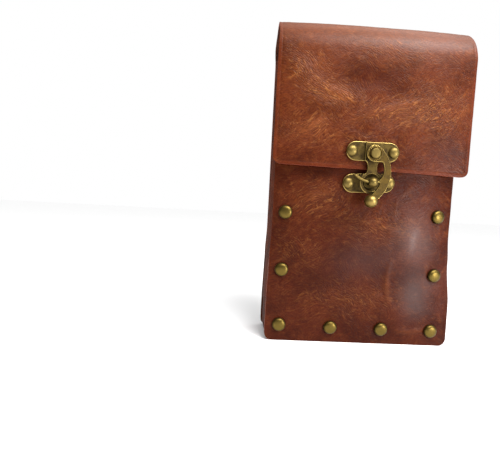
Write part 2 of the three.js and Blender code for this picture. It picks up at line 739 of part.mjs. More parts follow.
for (const [side, sign] of [["left", -1], ["right", 1]]) {
  const loop = drilled(beltLoop((sign * LOOP_SPREAD) / 2), ...holesFor(`loop_rivet_${side}`));
  pouch.add(piece(`belt_loop_${side}`, loop, BROWN_LEATHER));
}

for (const { name, at, normal, shape } of rivets) {
  const rivet = piece(name, rivetGeometry(shape), ANTIQUE_BRASS);
  rivet.position.copy(at);
  rivet.quaternion.copy(turnTo(normal));
  pouch.add(rivet);
}

const clasp = new THREE.Group();
clasp.add(
  piece("clasp_upper_plate", upperPlate(), ANTIQUE_BRASS),
  piece("clasp_pivot", pivot(), ANTIQUE_BRASS),
  piece("clasp_hook", hook(), ANTIQUE_BRASS),
  piece("clasp_lower_plate", lowerPlate(), ANTIQUE_BRASS),
  piece("clasp_post", post(), ANTIQUE_BRASS),
);
clasp.rotation.x = Math.PI / 2;
clasp.position.set(0, flapFace, CLASP_HEIGHT);
pouch.add(clasp);

export default pouch;
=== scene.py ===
"""A belt pouch of distressed leather: two panels on a gusset, a fold-over flap and a brass swing clasp.

Meshes are in metres, in the part's own frame: +Z up, the front faces -Y, the origin is in the middle of the
underside. The classes hold their sizes in millimetres.
"""

import logging
import math
from dataclasses import dataclass
from enum import Enum
from typing import Callable, Iterable, Sequence

import bpy
from mathutils import Matrix, Vector, noise


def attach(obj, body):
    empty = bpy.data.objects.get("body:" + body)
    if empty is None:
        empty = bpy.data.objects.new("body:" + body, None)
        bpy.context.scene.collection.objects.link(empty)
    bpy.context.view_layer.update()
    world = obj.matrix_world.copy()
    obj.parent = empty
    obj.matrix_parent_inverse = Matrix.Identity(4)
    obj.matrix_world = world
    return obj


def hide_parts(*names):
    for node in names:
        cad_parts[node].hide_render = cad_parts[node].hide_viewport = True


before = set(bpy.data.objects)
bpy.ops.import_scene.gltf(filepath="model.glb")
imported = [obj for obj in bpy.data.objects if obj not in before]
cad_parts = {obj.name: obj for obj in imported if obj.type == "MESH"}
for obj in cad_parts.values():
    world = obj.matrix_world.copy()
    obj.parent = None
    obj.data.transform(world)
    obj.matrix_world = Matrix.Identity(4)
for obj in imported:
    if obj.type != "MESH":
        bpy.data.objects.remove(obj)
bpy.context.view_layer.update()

LOG = logging.getLogger("pouch")
MM = 0.001
# The sheets' UV maps count in tenths of a metre on the flat leather.
SHEET_UNIT = 100.0

Point = tuple[float, float]
Shares = tuple[float, float, float]


class Body(Enum):
    """What a piece moves with."""

    POUCH = "pouch"
    HOOK = "hook"


class Slot(Enum):
    """The record's material slots."""

    LEATHER = "leather"
    GUSSET = "gusset_leather"
    BRASS = "brass"


def lerp(start: float, end: float, share: float) -> float:
    """Returns the value at a share of the way from start to end."""
    return start + (end - start) * share


def smoothstep(value: float, low: float, high: float) -> float:
    """Returns 0 below low, 1 above high and a smooth rise between them."""
    share = min(1.0, max(0.0, (value - low) / (high - low)))
    return share * share * (3 - 2 * share)


def evenly(start: float, end: float, steps: int) -> list[float]:
    """Returns steps + 1 evenly spaced values from start to end."""
    return [lerp(start, end, index / steps) for index in range(steps + 1)]


def between(start: Point, end: Point, share: float) -> Point:
    """Returns the point at a share of the way from start to end."""
    return lerp(start[0], end[0], share), lerp(start[1], end[1], share)


def arc(x: float, y: float, radius: float, start: float, end: float, steps: int) -> list[Point]:
    """Returns points of an arc; the angles are in radians."""
    return [(x + radius * math.cos(a), y + radius * math.sin(a)) for a in evenly(start, end, steps)]


def curve(start: Point, pull: Point, end: Point, steps: int = 10) -> list[Point]:
    """Returns points of a curve from start to end that is drawn towards pull."""
    return [between(between(start, pull, share), between(pull, end, share), share)
            for share in evenly(0, 1, steps)]


class Graph:
    """The node tree of one material."""

    def __init__(self, name: str) -> None:
        """Makes an empty material.

        Args:
            name: The material's name.
        """
        self.material = bpy.data.materials.new(name)
        self.material.use_nodes = True
        self.tree = self.material.node_tree
        self.tree.nodes.clear()

    def node(self, kind: str, settings: dict[str, object], inputs: dict[int | str, object],
             output: int | str = 0) -> "Value":
        """Adds a node.

        Args:
            kind: The node's type.
            settings: Its settings.
            inputs: Its sockets by name or number, each a Value to link or a plain value to set.
            output: The socket to go on with.

        Returns:
            That output.
        """
        node = self.tree.nodes.new(kind)
        for name, setting in settings.items():
            setattr(node, name, setting)
        for key, value in inputs.items():
            target = node.inputs[key]
            if isinstance(value, Value):
                self.tree.links.new(value.socket, target)
            elif target.type == "RGBA":
                target.default_value = (*value[:3], 1.0)
            else:
                target.default_value = value
        return Value(self, node.outputs[output])

    def surface(self, **inputs: object) -> bpy.types.Material:
        """Ends the material with a Principled BSDF.

        Args:
            inputs: Its sockets, named with _ for a space.

        Returns:
            The material.
        """
        named = {name.replace("_", " "): value for name, value in inputs.items()}
        shader = self.node("ShaderNodeBsdfPrincipled", {}, named)
        ending = self.tree.nodes.new("ShaderNodeOutputMaterial")
        self.tree.links.new(shader.socket, ending.inputs["Surface"])
        return self.material

    def mix(self, share: "Value | float", low: object, high: object) -> "Value":
        """Returns the colour at a share of the way from low to high."""
        settings = {"data_type": "RGBA", "clamp_factor": True}
        return self.node("ShaderNodeMix", settings, {0: share, 6: low, 7: high}, 2)

    def vector(self, operation: str, first: object, second: object) -> "Value":
        """Returns a Vector Math node's vector."""
        return self.node("ShaderNodeVectorMath", {"operation": operation}, {0: first, 1: second})

    def noise(self, place: "Value", size: float, detail: float = 2.0, rough: float = 0.5,
              output: str = "Fac") -> "Value":
        """Returns a noise whose swells are about as wide as size, in the units of place."""
        inputs = {"Vector": place, "Scale": 1 / size, "Detail": detail, "Roughness": rough}
        return self.node("ShaderNodeTexNoise", {}, inputs, output)

    def bump(self, height: "Value", strength: float, depth: float) -> "Value":
        """Returns the normal of a relief whose full height is depth, in metres."""
        return self.node("ShaderNodeBump", {}, {"Strength": strength, "Distance": depth, "Height": height})

    def stretched(self, place: "Value", angle: float, along: float, across: float) -> "Value":
        """Turns a place and shrinks it.

        Args:
            place: The place.
            angle: The angle of the first direction, in degrees.
            along: The length that becomes 1 in that direction.
            across: The length that becomes 1 in the others.

        Returns:
            The turned place.
        """
        turned = self.node("ShaderNodeMapping", {"vector_type": "POINT"},
                           {"Vector": place, "Rotation": (0.0, 0.0, math.radians(-angle))})
        return self.vector("DIVIDE", turned, (along, across, across))

    def attribute(self, name: str) -> tuple["Value", "Value", "Value"]:
        """Returns the three numbers of a vector attribute."""
        vector = self.node("ShaderNodeAttribute", {"attribute_name": name}, {}, "Vector")
        return self.parts(vector)

    def parts(self, vector: "Value") -> tuple["Value", "Value", "Value"]:
        """Takes a vector apart.

        Args:
            vector: The vector.

        Returns:
            Its x, y and z.
        """
        first = self.node("ShaderNodeSeparateXYZ", {}, {0: vector}, 0)
        outputs = first.socket.node.outputs
        return first, Value(self, outputs[1]), Value(self, outputs[2])


class Value:
    """An output socket that Python expressions can work on."""

    def __init__(self, graph: Graph, socket: bpy.types.NodeSocket) -> None:
        """Wraps a socket of a graph."""
        self.graph = graph
        self.socket = socket

    def math(self, operation: str, *others: object, first: object = None, clamp: bool = False) -> "Value":
        """Adds a Math node.

        Args:
            operation: What it works out.
            others: Its second and third values.
            first: A plain number that comes before this value, for the reflected operators.
            clamp: Whether the result stays between 0 and 1.

        Returns:
            The result.
        """
        values = [self, *others] if first is None else [first, self, *others]
        return self.graph.node("ShaderNodeMath", {"operation": operation, "use_clamp": clamp},
                               dict(enumerate(values)))

    def __add__(self, other: object) -> "Value":
        """Returns the sum."""
        return self.math("ADD", other)

    def __sub__(self, other: object) -> "Value":
        """Returns the difference."""
        return self.math("SUBTRACT", other)

    def __mul__(self, other: object) -> "Value":
        """Returns the product."""
        return self.math("MULTIPLY", other)

    def __truediv__(self, other: object) -> "Value":
        """Returns the quotient."""
        return self.math("DIVIDE", other)

    def __rsub__(self, other: object) -> "Value":
        """Returns a number minus this value."""
        return self.math("SUBTRACT", first=other)

    __radd__ = __add__
    __rmul__ = __mul__

    def __abs__(self) -> "Value":
        """Returns the size without its sign."""
        return self.math("ABSOLUTE")

    def clamped(self) -> "Value":
        """Returns the value held between 0 and 1."""
        return self.math("ADD", 0.0, clamp=True)

    def between(self, low: float, high: float) -> "Value":
        """Returns 0 at low, 1 at high and a smooth rise between them; low may be the greater."""
        share = ((self - low) / (high - low)).clamped()
        return share * share * (3 - 2 * share)


@dataclass(frozen=True)
class Leather:
    """Pull-up leather: mottled, finely wrinkled, with paler crackle where it was folded, painted shade in its
    creases and grain hollows, and a painted highlight along its cut edges.
    """

    name: str
    deep: Shares = (0.034, 0.0038, 0.0010)
    body: Shares = (0.088, 0.0135, 0.0034)
    tan: Shares = (0.24, 0.066, 0.018)
    crackle: Shares = (0.40, 0.145, 0.035)
    # The dark colour of the painted shade in the creases and grain hollows.
    shade_tone: Shares = (0.017, 0.0022, 0.0008)
    # The paler colour along the cut edges: a painted highlight of the rounded edge.
    hem: Shares = (0.19, 0.036, 0.013)
    rough: float = 0.27
    # How far the whole sheet is darkened: partly the leather's own tone, partly painted shade, as the front
    # panel's copy is darkened more than the flap's.
    tone_and_shade_darkening: float = 0.0
    unit: float = SHEET_UNIT
    rising_angle: float = 34.0
    falling_angle: float = -36.0
    level_angle: float = 4.0
    wrinkle: Point = (4.2, 1.15)
    level_wrinkle: Point = (4.8, 1.15)
    stroke: Point = (6.0, 1.5)
    level_stroke: Point = (6.5, 1.5)
    swirl: float = 24.0
    swirl_push: float = 13.0
    relief: float = 0.00019
    specular: float = 0.06
    sheen: float = 0.6
    sheen_rough: float = 0.5

    def _wrinkles(self, graph: Graph, place: Value, angle: float, size: Point) -> Value:
        """Makes wrinkles that run along an angle.

        Args:
            graph: The material's graph.
            place: The place on the flat sheet, in millimetres.
            angle: The way they run, in degrees.
            size: Their length and width.

        Returns:
            1 on their backs, 0 in the creases between them.
        """
        length, width = size
        cells = graph.node("ShaderNodeTexVoronoi", {"feature": "DISTANCE_TO_EDGE", "voronoi_dimensions": "2D"},
                           {"Vector": graph.stretched(place, angle, length, width), "Scale": 1.0})
        field = graph.noise(graph.stretched(place, angle, length * 1.4, width * 1.1), 1.0, 2.0, 0.5)
        return cells.between(0.0, 0.3) * 0.45 + abs(field - 0.5).between(0.0, 0.1) * 0.55

    def _strokes(self, graph: Graph, place: Value, angle: float, size: Point) -> Value:
        """Makes thin broken strokes that run along an angle.

        Args:
            graph: The material's graph.
            place: The place on the flat sheet, in millimetres.
            angle: The way they run, in degrees.
            size: Their length and width.

        Returns:
            1 on a stroke, 0 off it.
        """
        length, width = size
        field = graph.noise(graph.stretched(place, angle, length, width), 1.0, 1.5, 0.5)
        line = abs(field - 0.5).between(0.05, 0.0)
        gate = graph.noise(graph.stretched(place, angle, length * 1.2, width * 1.6), 1.1, 1.0)
        return line * gate.between(0.46, 0.6)

    def material(self) -> bpy.types.Material:
        """Makes the grain side's material.

        Returns:
            The material.
        """
        graph = Graph(self.name)
        flat = graph.node("ShaderNodeUVMap", {"uv_map": "Sheet"}, {})
        flat = graph.vector("MULTIPLY", flat, (self.unit, self.unit, self.unit))
        swirl = graph.noise(flat, self.swirl, 2.0, 0.4, "Color")
        swirl = graph.vector("SUBTRACT", swirl, (0.5, 0.5, 0.5))
        shift = graph.vector("MULTIPLY", swirl, (self.swirl_push, self.swirl_push, 0.0))
        place = graph.vector("ADD", flat, shift)
        rising, falling, level = graph.attribute("crackle")
        dark, orange, polish = graph.attribute("tone")
        hem = graph.node("ShaderNodeAttribute", {"attribute_name": "hem"}, {}, "Fac")

        lie = graph.noise(flat, 20.0, 1.0)
        up_share = lie.between(0.47, 0.6) + rising * 2
        down_share = lie.between(0.53, 0.4) + falling * 2
        flat_share = 0.25 + level * 2
        total = up_share + down_share + flat_share
        wrinkle = (self._wrinkles(graph, place, self.rising_angle, self.wrinkle) * up_share
                   + self._wrinkles(graph, place, self.falling_angle, self.wrinkle) * down_share
                   + self._wrinkles(graph, place, self.level_angle, self.level_wrinkle) * flat_share) / total
        up_strokes = self._strokes(graph, place, self.rising_angle, self.stroke)
        down_strokes = self._strokes(graph, place, self.falling_angle, self.stroke)
        level_strokes = self._strokes(graph, place, self.level_angle, self.level_stroke)
        strokes = (up_strokes * (rising * 1.4 + up_share / total * 0.22)
                   + down_strokes * (falling * 1.4 + down_share / total * 0.22)
                   + level_strokes * (level * 1.4 + 0.06)).clamped()
        worn = (rising + falling + level).clamped()
        broad = graph.noise(place, 24.0, 3.0, 0.55)
        patchy = graph.noise(place, 7.0, 4.0, 0.62)
        fine = graph.noise(place, 0.9, 3.0, 0.6)

        shade = graph.mix(broad.between(0.38, 0.6), self.deep, self.body)
        shade = graph.mix((patchy.between(0.5, 0.72) * 0.4 + orange).clamped(), shade, self.tan)
        shade = graph.mix((dark * 0.8).clamped(), shade, self.deep)
        shade = graph.mix(wrinkle * (0.12 + worn * 0.3), shade, self.tan)
        # Painted shade: the creases between the wrinkles darkened.
        shade = graph.mix((1 - wrinkle) * (0.42 + worn * 0.25), shade, self.shade_tone)
        shade = graph.mix(fine.between(0.55, 0.75) * 0.25, shade, self.tan)
        # Painted shade: the fine grain's hollows darkened.
        shade = graph.mix(fine.between(0.45, 0.25) * 0.3, shade, self.shade_tone)
        shade = graph.mix(strokes * 0.47, shade, self.crackle)
        # Painted highlight: a paler band along the cut edges.
        shade = graph.mix(hem.between(2.0, 1.2) * 0.25, shade, self.hem)
        # Darkens the whole sheet: the leather's tone, and on the front panel also painted shade.
        shade = graph.mix(self.tone_and_shade_darkening, shade, self.shade_tone)

        calm = 1 - (dark * 0.5 + polish * 0.75).clamped()
        height = (wrinkle * (0.5 + worn * 0.6) + strokes * 0.5 + fine * 0.3) * calm + patchy * 0.8
        bump = graph.bump(height, 1.0, self.relief)
        rough = self.rough + strokes * 0.1 + (1 - wrinkle) * 0.1 - polish * 0.02 + (broad - 0.5) * 0.2
        return graph.surface(Base_Color=shade, Roughness=rough, Normal=bump, Specular_IOR_Level=self.specular,
                             Coat_Weight=(polish * self.sheen).clamped(), Coat_Roughness=self.sheen_rough)


@dataclass(frozen=True)
class CutEdge:
    """The painted edge of cut leather."""

    name: str = "edge_paint"
    shade: Shares = (0.20, 0.033, 0.015)
    worn: Shares = (0.32, 0.075, 0.030)

    def material(self) -> bpy.types.Material:
        """Makes the cut edge's material.

        Returns:
            The material.
        """
        graph = Graph(self.name)
        place = graph.node("ShaderNodeTexCoord", {}, {}, "Object")
        wear = graph.noise(place, 0.006, 3.0, 0.6)
        fibre = graph.noise(place, 0.0006, 2.0)
        shade = graph.mix(wear.between(0.45, 0.7), self.shade, self.worn)
        bump = graph.bump(fibre, 0.5, 0.0001)
        return graph.surface(Base_Color=shade, Roughness=0.55, Normal=bump, Specular_IOR_Level=0.25)


@dataclass(frozen=True)
class FleshSide:
    """The suede-like inside of the leather."""

    name: str = "flesh_side"
    shade: Shares = (0.055, 0.016, 0.009)
    nap: Shares = (0.10, 0.032, 0.017)

    def material(self) -> bpy.types.Material:
        """Makes the flesh side's material.

        Returns:
            The material.
        """
        graph = Graph(self.name)
        place = graph.node("ShaderNodeTexCoord", {}, {}, "Object")
        patch = graph.noise(place, 0.012, 4.0, 0.65)
        fibre = graph.noise(place, 0.0007, 3.0, 0.7)
        shade = graph.mix(patch.between(0.35, 0.7), self.shade, self.nap)
        shade = graph.mix(fibre.between(0.4, 0.7) * 0.4, shade, self.nap)
        bump = graph.bump(fibre, 0.7, 0.0002)
        return graph.surface(Base_Color=shade, Roughness=0.9, Normal=bump, Specular_IOR_Level=0.15)


class WearAndHighlight(Enum):
    """Where a brass piece is made bright. EDGES: wear with a painted highlight on its rounded edges. CROWN:
    wear on its top.
    """

    EDGES = "edges"
    CROWN = "crown"


@dataclass(frozen=True)
class AntiqueBrass:
    """Brass darkened in its hollows and rubbed bright where hands touch it; its bright edges are also a painted
    highlight.
    """

    name: str
    wear: WearAndHighlight
    bright: Shares = (0.40, 0.28, 0.085)
    mellow: Shares = (0.16, 0.105, 0.026)
    patina: Shares = (0.024, 0.0145, 0.0055)
    patina_share: float = 0.5
    rough: float = 0.3
    specular: float = 0.1

    def material(self) -> bpy.types.Material:
        """Makes the brass's material.

        Returns:
            The material.
        """
        graph = Graph(self.name)
        place = graph.node("ShaderNodeTexCoord", {}, {}, "Object")
        normal = graph.node("ShaderNodeTexCoord", {}, {}, "Normal")
        _, outwards, _ = graph.parts(normal)
        facing = abs(outwards)
        cloud = graph.noise(place, 0.0032, 3.0, 0.6)
        speck = graph.noise(place, 0.0007, 3.0, 0.6)
        if self.wear is WearAndHighlight.EDGES:
            # Painted highlight, with wear: the rounded edges made bright on every side, whatever the light.
            brightening = facing.between(0.995, 0.93) * facing.between(0.1, 0.4)
        else:
            brightening = facing.between(0.55, 0.95)
        brightening = (brightening + (cloud - 0.5) * 0.7 + (speck - 0.5) * 0.5).clamped()
        shade = graph.mix(brightening, self.mellow, self.bright)
        grime = ((1 - brightening) * self.patina_share * (0.6 + cloud.between(0.36, 0.62) * 0.4)).clamped()
        shade = graph.mix(grime, shade, self.patina)
        rough = self.rough + grime * 0.25 + (speck - 0.5) * 0.2
        metal = 1 - grime * 0.35
        bump = graph.bump(cloud * 0.8 + speck * 0.6, 0.6, 0.00008)
        return graph.surface(Base_Color=shade, Roughness=rough, Metallic=metal, Normal=bump,
                             Specular_IOR_Level=self.specular)


class Bench:
    """The modelling steps that all the pieces share."""

    @staticmethod
    def alone(piece: bpy.types.Object) -> None:
        """Makes a piece the only selected one, and the active one.

        Args:
            piece: The piece.
        """
        if bpy.context.object and bpy.context.object.mode != "OBJECT":
            bpy.ops.object.mode_set(mode="OBJECT")
        bpy.ops.object.select_all(action="DESELECT")
        piece.select_set(True)
        bpy.context.view_layer.objects.active = piece

    @staticmethod
    def added(operator: Callable[..., set[str]], name: str, **settings: object) -> bpy.types.Object:
        """Adds an object with nothing else selected.

        Args:
            operator: The operator that adds it.
            name: Its name.
            settings: The operator's settings.

        Returns:
            The object.
        """
        bpy.ops.object.select_all(action="DESELECT")
        operator(**settings)
        piece = bpy.context.object
        piece.name = name
        return piece

    @staticmethod
    def copied(piece: bpy.types.Object, name: str) -> bpy.types.Object:
        """Copies a piece.

        Args:
            piece: The piece.
            name: The copy's name.

        Returns:
            The copy, with its own mesh.
        """
        twin = piece.copy()
        twin.data = piece.data.copy()
        twin.name = name
        bpy.context.collection.objects.link(twin)
        return twin

    @staticmethod
    def finish_with(piece: bpy.types.Object, kind: str, **settings: object) -> None:
        """Adds a modifier and applies it.

        Args:
            piece: The piece.
            kind: The modifier's type.
            settings: Its settings.
        """
        Bench.alone(piece)
        modifier = piece.modifiers.new(kind.lower(), kind)
        for name, setting in settings.items():
            setattr(modifier, name, setting)
        bpy.ops.object.modifier_apply(modifier=modifier.name)

    @staticmethod
    def smooth(piece: bpy.types.Object, degrees: float = 40) -> None:
        """Shades a piece smooth except at its sharper edges."""
        Bench.alone(piece)
        bpy.ops.object.shade_smooth_by_angle(angle=math.radians(degrees))

    @staticmethod
    def mended(piece: bpy.types.Object, reach: float = 1e-6) -> None:
        """Merges doubled points and turns all faces outwards.

        Args:
            piece: The piece.
            reach: How near two points are that become one, in metres.
        """
        Bench.alone(piece)
        bpy.ops.object.mode_set(mode="EDIT")
        bpy.ops.mesh.select_all(action="SELECT")
        bpy.ops.mesh.remove_doubles(threshold=reach)
        bpy.ops.mesh.normals_make_consistent(inside=False)
        bpy.ops.object.mode_set(mode="OBJECT")

    @staticmethod
    def placed(piece: bpy.types.Object, place: Matrix) -> None:
        """Moves a piece's mesh, so that its object stays at the origin."""
        piece.data.transform(place)
        piece.data.update()

    @staticmethod
    def joined(name: str, pieces: Sequence[bpy.types.Object]) -> bpy.types.Object:
        """Joins pieces.

        Args:
            name: The name of the whole.
            pieces: The pieces, which are used up.

        Returns:
            The whole.
        """
        Bench.alone(pieces[0])
        for piece in pieces:
            piece.select_set(True)
        bpy.ops.object.join()
        whole = bpy.context.object
        whole.name = name
        whole.data.name = name
        return whole

    @staticmethod
    def cut(piece: bpy.types.Object, cutter: bpy.types.Object, operation: str = "DIFFERENCE") -> None:
        """Cuts one piece by another, or joins them as one solid, and deletes the other."""
        Bench.finish_with(piece, "BOOLEAN", operation=operation, solver="EXACT", object=cutter)
        bpy.data.objects.remove(cutter)

    @staticmethod
    def turned(name: str, profile: Sequence[Point], steps: int) -> bpy.types.Object:
        """Makes a turned piece that stands on the XY plane's axis.

        Args:
            name: The piece's name.
            profile: Points of radius and level, in millimetres, from the axis back to the axis.
            steps: How many faces go round.

        Returns:
            The piece, with its axis along +Z.
        """
        piece = Bench.added(bpy.ops.mesh.primitive_circle_add, name, vertices=len(profile), fill_type="NOTHING")
        for vertex, (radius, level) in zip(piece.data.vertices, profile):
            vertex.co = (radius * MM, 0, level * MM)
        closing = {0, len(profile) - 1}
        for edge in piece.data.edges:
            edge.select = set(edge.vertices) == closing
        for vertex in piece.data.vertices:
            vertex.select = vertex.index in closing
        bpy.ops.object.mode_set(mode="EDIT")
        bpy.ops.mesh.select_mode(type="EDGE")
        bpy.ops.mesh.delete(type="EDGE")
        bpy.ops.mesh.select_mode(type="VERT")
        bpy.ops.mesh.select_all(action="SELECT")
        bpy.ops.mesh.spin(steps=steps, angle=2 * math.pi, center=(0, 0, 0), axis=(0, 0, 1))
        bpy.ops.object.mode_set(mode="OBJECT")
        Bench.mended(piece, 2e-6)
        return piece

    @staticmethod
    def cast(name: str, outline: Sequence[Point], low: float, high: float) -> bpy.types.Object:
        """Makes a flat piece of an outline.

        Args:
            name: The piece's name.
            outline: Its points, in millimetres.
            low: The level of its back.
            high: The level of its front.

        Returns:
            The piece, flat in the XY plane.
        """
        piece = Bench.added(bpy.ops.mesh.primitive_circle_add, name, vertices=len(outline), fill_type="NGON")
        for vertex, (x, y) in zip(piece.data.vertices, outline):
            vertex.co = (x * MM, y * MM, low * MM)
        bpy.ops.object.mode_set(mode="EDIT")
        bpy.ops.mesh.select_all(action="SELECT")
        bpy.ops.mesh.extrude_region_move(TRANSFORM_OT_translate={"value": (0, 0, (high - low) * MM)})
        bpy.ops.object.mode_set(mode="OBJECT")
        Bench.mended(piece)
        return piece

    @staticmethod
    def drill(x: float, y: float, radius: float, low: float, high: float) -> bpy.types.Object:
        """Makes a round cutter that stands on the XY plane, in millimetres.

        Args:
            x: Its axis's x.
            y: Its axis's y.
            radius: Its radius.
            low: The level of its lower end.
            high: The level of its upper end.

        Returns:
            The cutter.
        """
        centre = Vector((x, y, (low + high) / 2)) * MM
        piece = Bench.added(bpy.ops.mesh.primitive_cylinder_add, "drill", vertices=64, radius=radius * MM,
                            depth=(high - low) * MM, location=centre)
        bpy.ops.object.transform_apply(location=True, rotation=True, scale=True)
        return piece

    @staticmethod
    def ball(x: float, y: float, level: float, radius: float) -> bpy.types.Object:
        """Makes a ball, in millimetres.

        Args:
            x: Its middle's x.
            y: Its middle's y.
            level: Its middle's level.
            radius: Its radius.

        Returns:
            The ball.
        """
        piece = Bench.added(bpy.ops.mesh.primitive_uv_sphere_add, "ball", segments=48, ring_count=28,
                            radius=radius * MM, location=Vector((x, y, level)) * MM)
        bpy.ops.object.transform_apply(location=True, rotation=True, scale=True)
        return piece

    @staticmethod
    def kept(piece: bpy.types.Object, body: Body, slot: Slot, *nodes: str) -> None:
        """Rides a finished piece on its body and lets it stand for its nodes.

        Args:
            piece: The piece.
            body: What it moves with.
            slot: Its material's slot; not used.
            nodes: The nodes that it stands for.
        """
        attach(piece, body.value)
        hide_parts(*nodes)
        piece.data.calc_loop_triangles()
        LOG.info("%s: %d triangles", piece.name, len(piece.data.loop_triangles))


@dataclass(frozen=True)
class Swell:
    """A low dent or swell, as shares of its panel: its middle, its reach and its push outwards."""

    across: float
    up: float
    reach: float
    push: float

    def at(self, across: float, up: float, aspect: float) -> float:
        """Returns its share of the push at a place."""
        away = (across - self.across) ** 2 + ((up - self.up) * aspect) ** 2
        return self.push * math.exp(-away / self.reach ** 2)


@dataclass(frozen=True)
class Crease:
    """A bowed line on a sheet, in millimetres on it, raised or sunk, and paler or not."""

    x: float
    y: float
    length: float
    angle: float
    bow: float = 0.0
    width: float = 1.2
    height: float = 0.25
    glow: float = 0.0

    def at(self, x: float, y: float) -> float:
        """Works out how much of the line a place has.

        Args:
            x: The place's x.
            y: The place's y.

        Returns:
            1 on the line, falling to 0 beside it and at its ends.
        """
        turn = math.radians(self.angle)
        along = (x - self.x) * math.cos(turn) + (y - self.y) * math.sin(turn)
        aside = (y - self.y) * math.cos(turn) - (x - self.x) * math.sin(turn)
        share = along / (self.length / 2)
        if abs(share) >= 1:
            return 0.0
        fade = (1 - share * share) ** 1.5
        off = aside - self.bow * (1 - share * share)
        return fade * math.exp(-((off / self.width) ** 2))


@dataclass(frozen=True)
class Patch:
    """A soft area of a sheet, in millimetres on it: how much crackle and which tone it has."""

    x: float
    y: float
    reach: float
    tall: float
    rising: float = 0.0
    falling: float = 0.0
    level: float = 0.0
    dark: float = 0.0
    orange: float = 0.0
    polish: float = 0.0

    def at(self, x: float, y: float) -> float:
        """Returns 1 in its middle and 0 far from it."""
        return math.exp(-(((x - self.x) / self.reach) ** 2) - ((y - self.y) / self.tall) ** 2)


@dataclass(frozen=True)
class Form:
    """The pouch's main sizes and faces, in millimetres, as in the frame."""

    leather: float = 1.8
    gap: float = 0.3
    panel_width: float = 104.6
    panel_height: float = 165.0
    panel_corner: float = 4.5
    depth: float = 32.0
    bulge: float = 6.0
    bulge_power: float = 2.7
    bulge_full: float = 0.55
    mouth_fall: float = 0.15
    mouth_start: float = 0.75
    flap_width: float = 111.0
    flap_shift: float = 1.15
    flap_bottom: float = 100.8
    flap_slant: float = 2.3
    flap_corner: float = 4.0
    flap_gap: float = 1.6
    flap_bow: float = 2.6
    seat_wide: Point = (0.2, 0.35)
    seat_tall: Point = (0.3, 0.5)
    fold_rise: float = 19.2
    rivet_inset: float = 7.8
    rivet_base: float = 9.2
    rivet_pitch: float = 33.2
    outline: tuple[tuple[float, float, float], ...] = (
        (0, 0.017, 0.062), (0.14, 0.017, 0.058), (0.3, 0.008, 0.014), (0.4, -0.004, -0.004), (1, 0, 0))
    front_swells: tuple[Swell, ...] = (
        Swell(0.45, 0.31, 0.34, 0.13), Swell(0.14, 0.17, 0.3, -0.12), Swell(-0.5, 0.4, 0.3, -0.1),
        Swell(-0.3, 0.22, 0.36, 0.1), Swell(0.86, 0.1, 0.2, 0.12))
    flap_swells: tuple[Swell, ...] = (
        Swell(-0.55, 0.25, 0.3, -0.3), Swell(0.1, 0.62, 0.5, 0.35), Swell(0.66, 0.34, 0.3, -0.25))
    panel_rivets: tuple[tuple[str, float, float], ...] = (
        ("left_1", -1.01, 0.015), ("left_2", -1.018, 0.994), ("left_3", -1.01, 1.99), ("right_1", 1.02, -0.006),
        ("right_2", 0.996, 1), ("right_3", 0.973, 2.033), ("bottom_1", -0.333, 0), ("bottom_2", 0.344, 0))

    @property
    def half(self) -> float:
        """Returns half the panels' width."""
        return self.panel_width / 2

    @property
    def back_face(self) -> float:
        """Returns the y of the back panel's outer face."""
        return self.depth / 2

    @property
    def flap_face(self) -> float:
        """Returns the y of the flap's outer face at its middle."""
        return -self.depth / 2 - self.bulge - self.flap_gap - self.leather

    @property
    def flap_drop(self) -> float:
        """Returns how far the flap hangs below the mouth."""
        return self.panel_height - self.flap_bottom

    def outline_x(self, across: float, z: float, half: float) -> float:
        """Works out the panels' wavy sides.

        Args:
            across: The share from the left side, -1, to the right one, 1.
            z: The height.
            half: Half the straight width there.

        Returns:
            The x.
        """
        up = min(1.0, max(0.0, z / self.panel_height))
        index = next(i for i, row in enumerate(self.outline) if i and row[0] >= up)
        below, above = self.outline[index - 1], self.outline[index]
        side = 1 if across < 0 else 2
        share = smoothstep(up, below[0], above[0])
        return across * (half + self.half * lerp(below[side], above[side], share))

    def corner_inset(self, height: float, bottom: float, corner: float) -> float:
        """Returns how far a rounded lower corner draws a side in at a height."""
        below = max(0.0, bottom + corner - height)
        return corner - math.sqrt(max(0.0, corner * corner - below * below))

    def front_y(self, x: float, z: float) -> float:
        """Works out the front panel's outer face.

        Args:
            x: The place's x.
            z: Its height.

        Returns:
            The y.
        """
        across = x / self.half
        up = z / self.panel_height
        crown = 1 - min(1.0, abs(across)) ** self.bulge_power
        rise = math.sin(min(1.0, up / self.bulge_full) * math.pi / 2)
        mouth = 1 - self.mouth_fall * smoothstep(up, self.mouth_start, 1)
        soft = sum(swell.at(across, up, self.panel_height / self.half) for swell in self.front_swells)
        return -self.depth / 2 - self.bulge * crown * rise * (mouth + soft)

    def front_normal(self, x: float, z: float) -> Vector:
        """Works out the way the front panel faces.

        Args:
            x: The place's x.
            z: Its height.

        Returns:
            The way, of length 1.
        """
        slope_x = (self.front_y(x + 1, z) - self.front_y(x - 1, z)) / 2
        slope_z = (self.front_y(x, z + 1) - self.front_y(x, z - 1)) / 2
        return Vector((slope_x, -1, slope_z)).normalized()

    def flap_edge(self, x: float) -> float:
        """Returns the height of the flap's lower edge."""
        return self.flap_bottom - self.flap_slant * (x - self.flap_shift) / self.flap_width

    def flap_y(self, x: float, z: float) -> float:
        """Works out the flap's outer face.

        Args:
            x: The place's x.
            z: Its height.

        Returns:
            The y.
        """
        across = (x - self.flap_shift) / (self.flap_width / 2)
        up = (z - self.flap_bottom) / self.flap_drop
        aspect = self.flap_drop / (self.flap_width / 2)
        seat = (1 - smoothstep(abs(across), *self.seat_wide)) * (1 - smoothstep(up, *self.seat_tall))
        soft = sum(swell.at(across, up, aspect) for swell in self.flap_swells) * (1 - seat)
        return self.flap_face + self.flap_bow * abs(across) ** 3 - self.flap_gap * max(-0.5, soft)

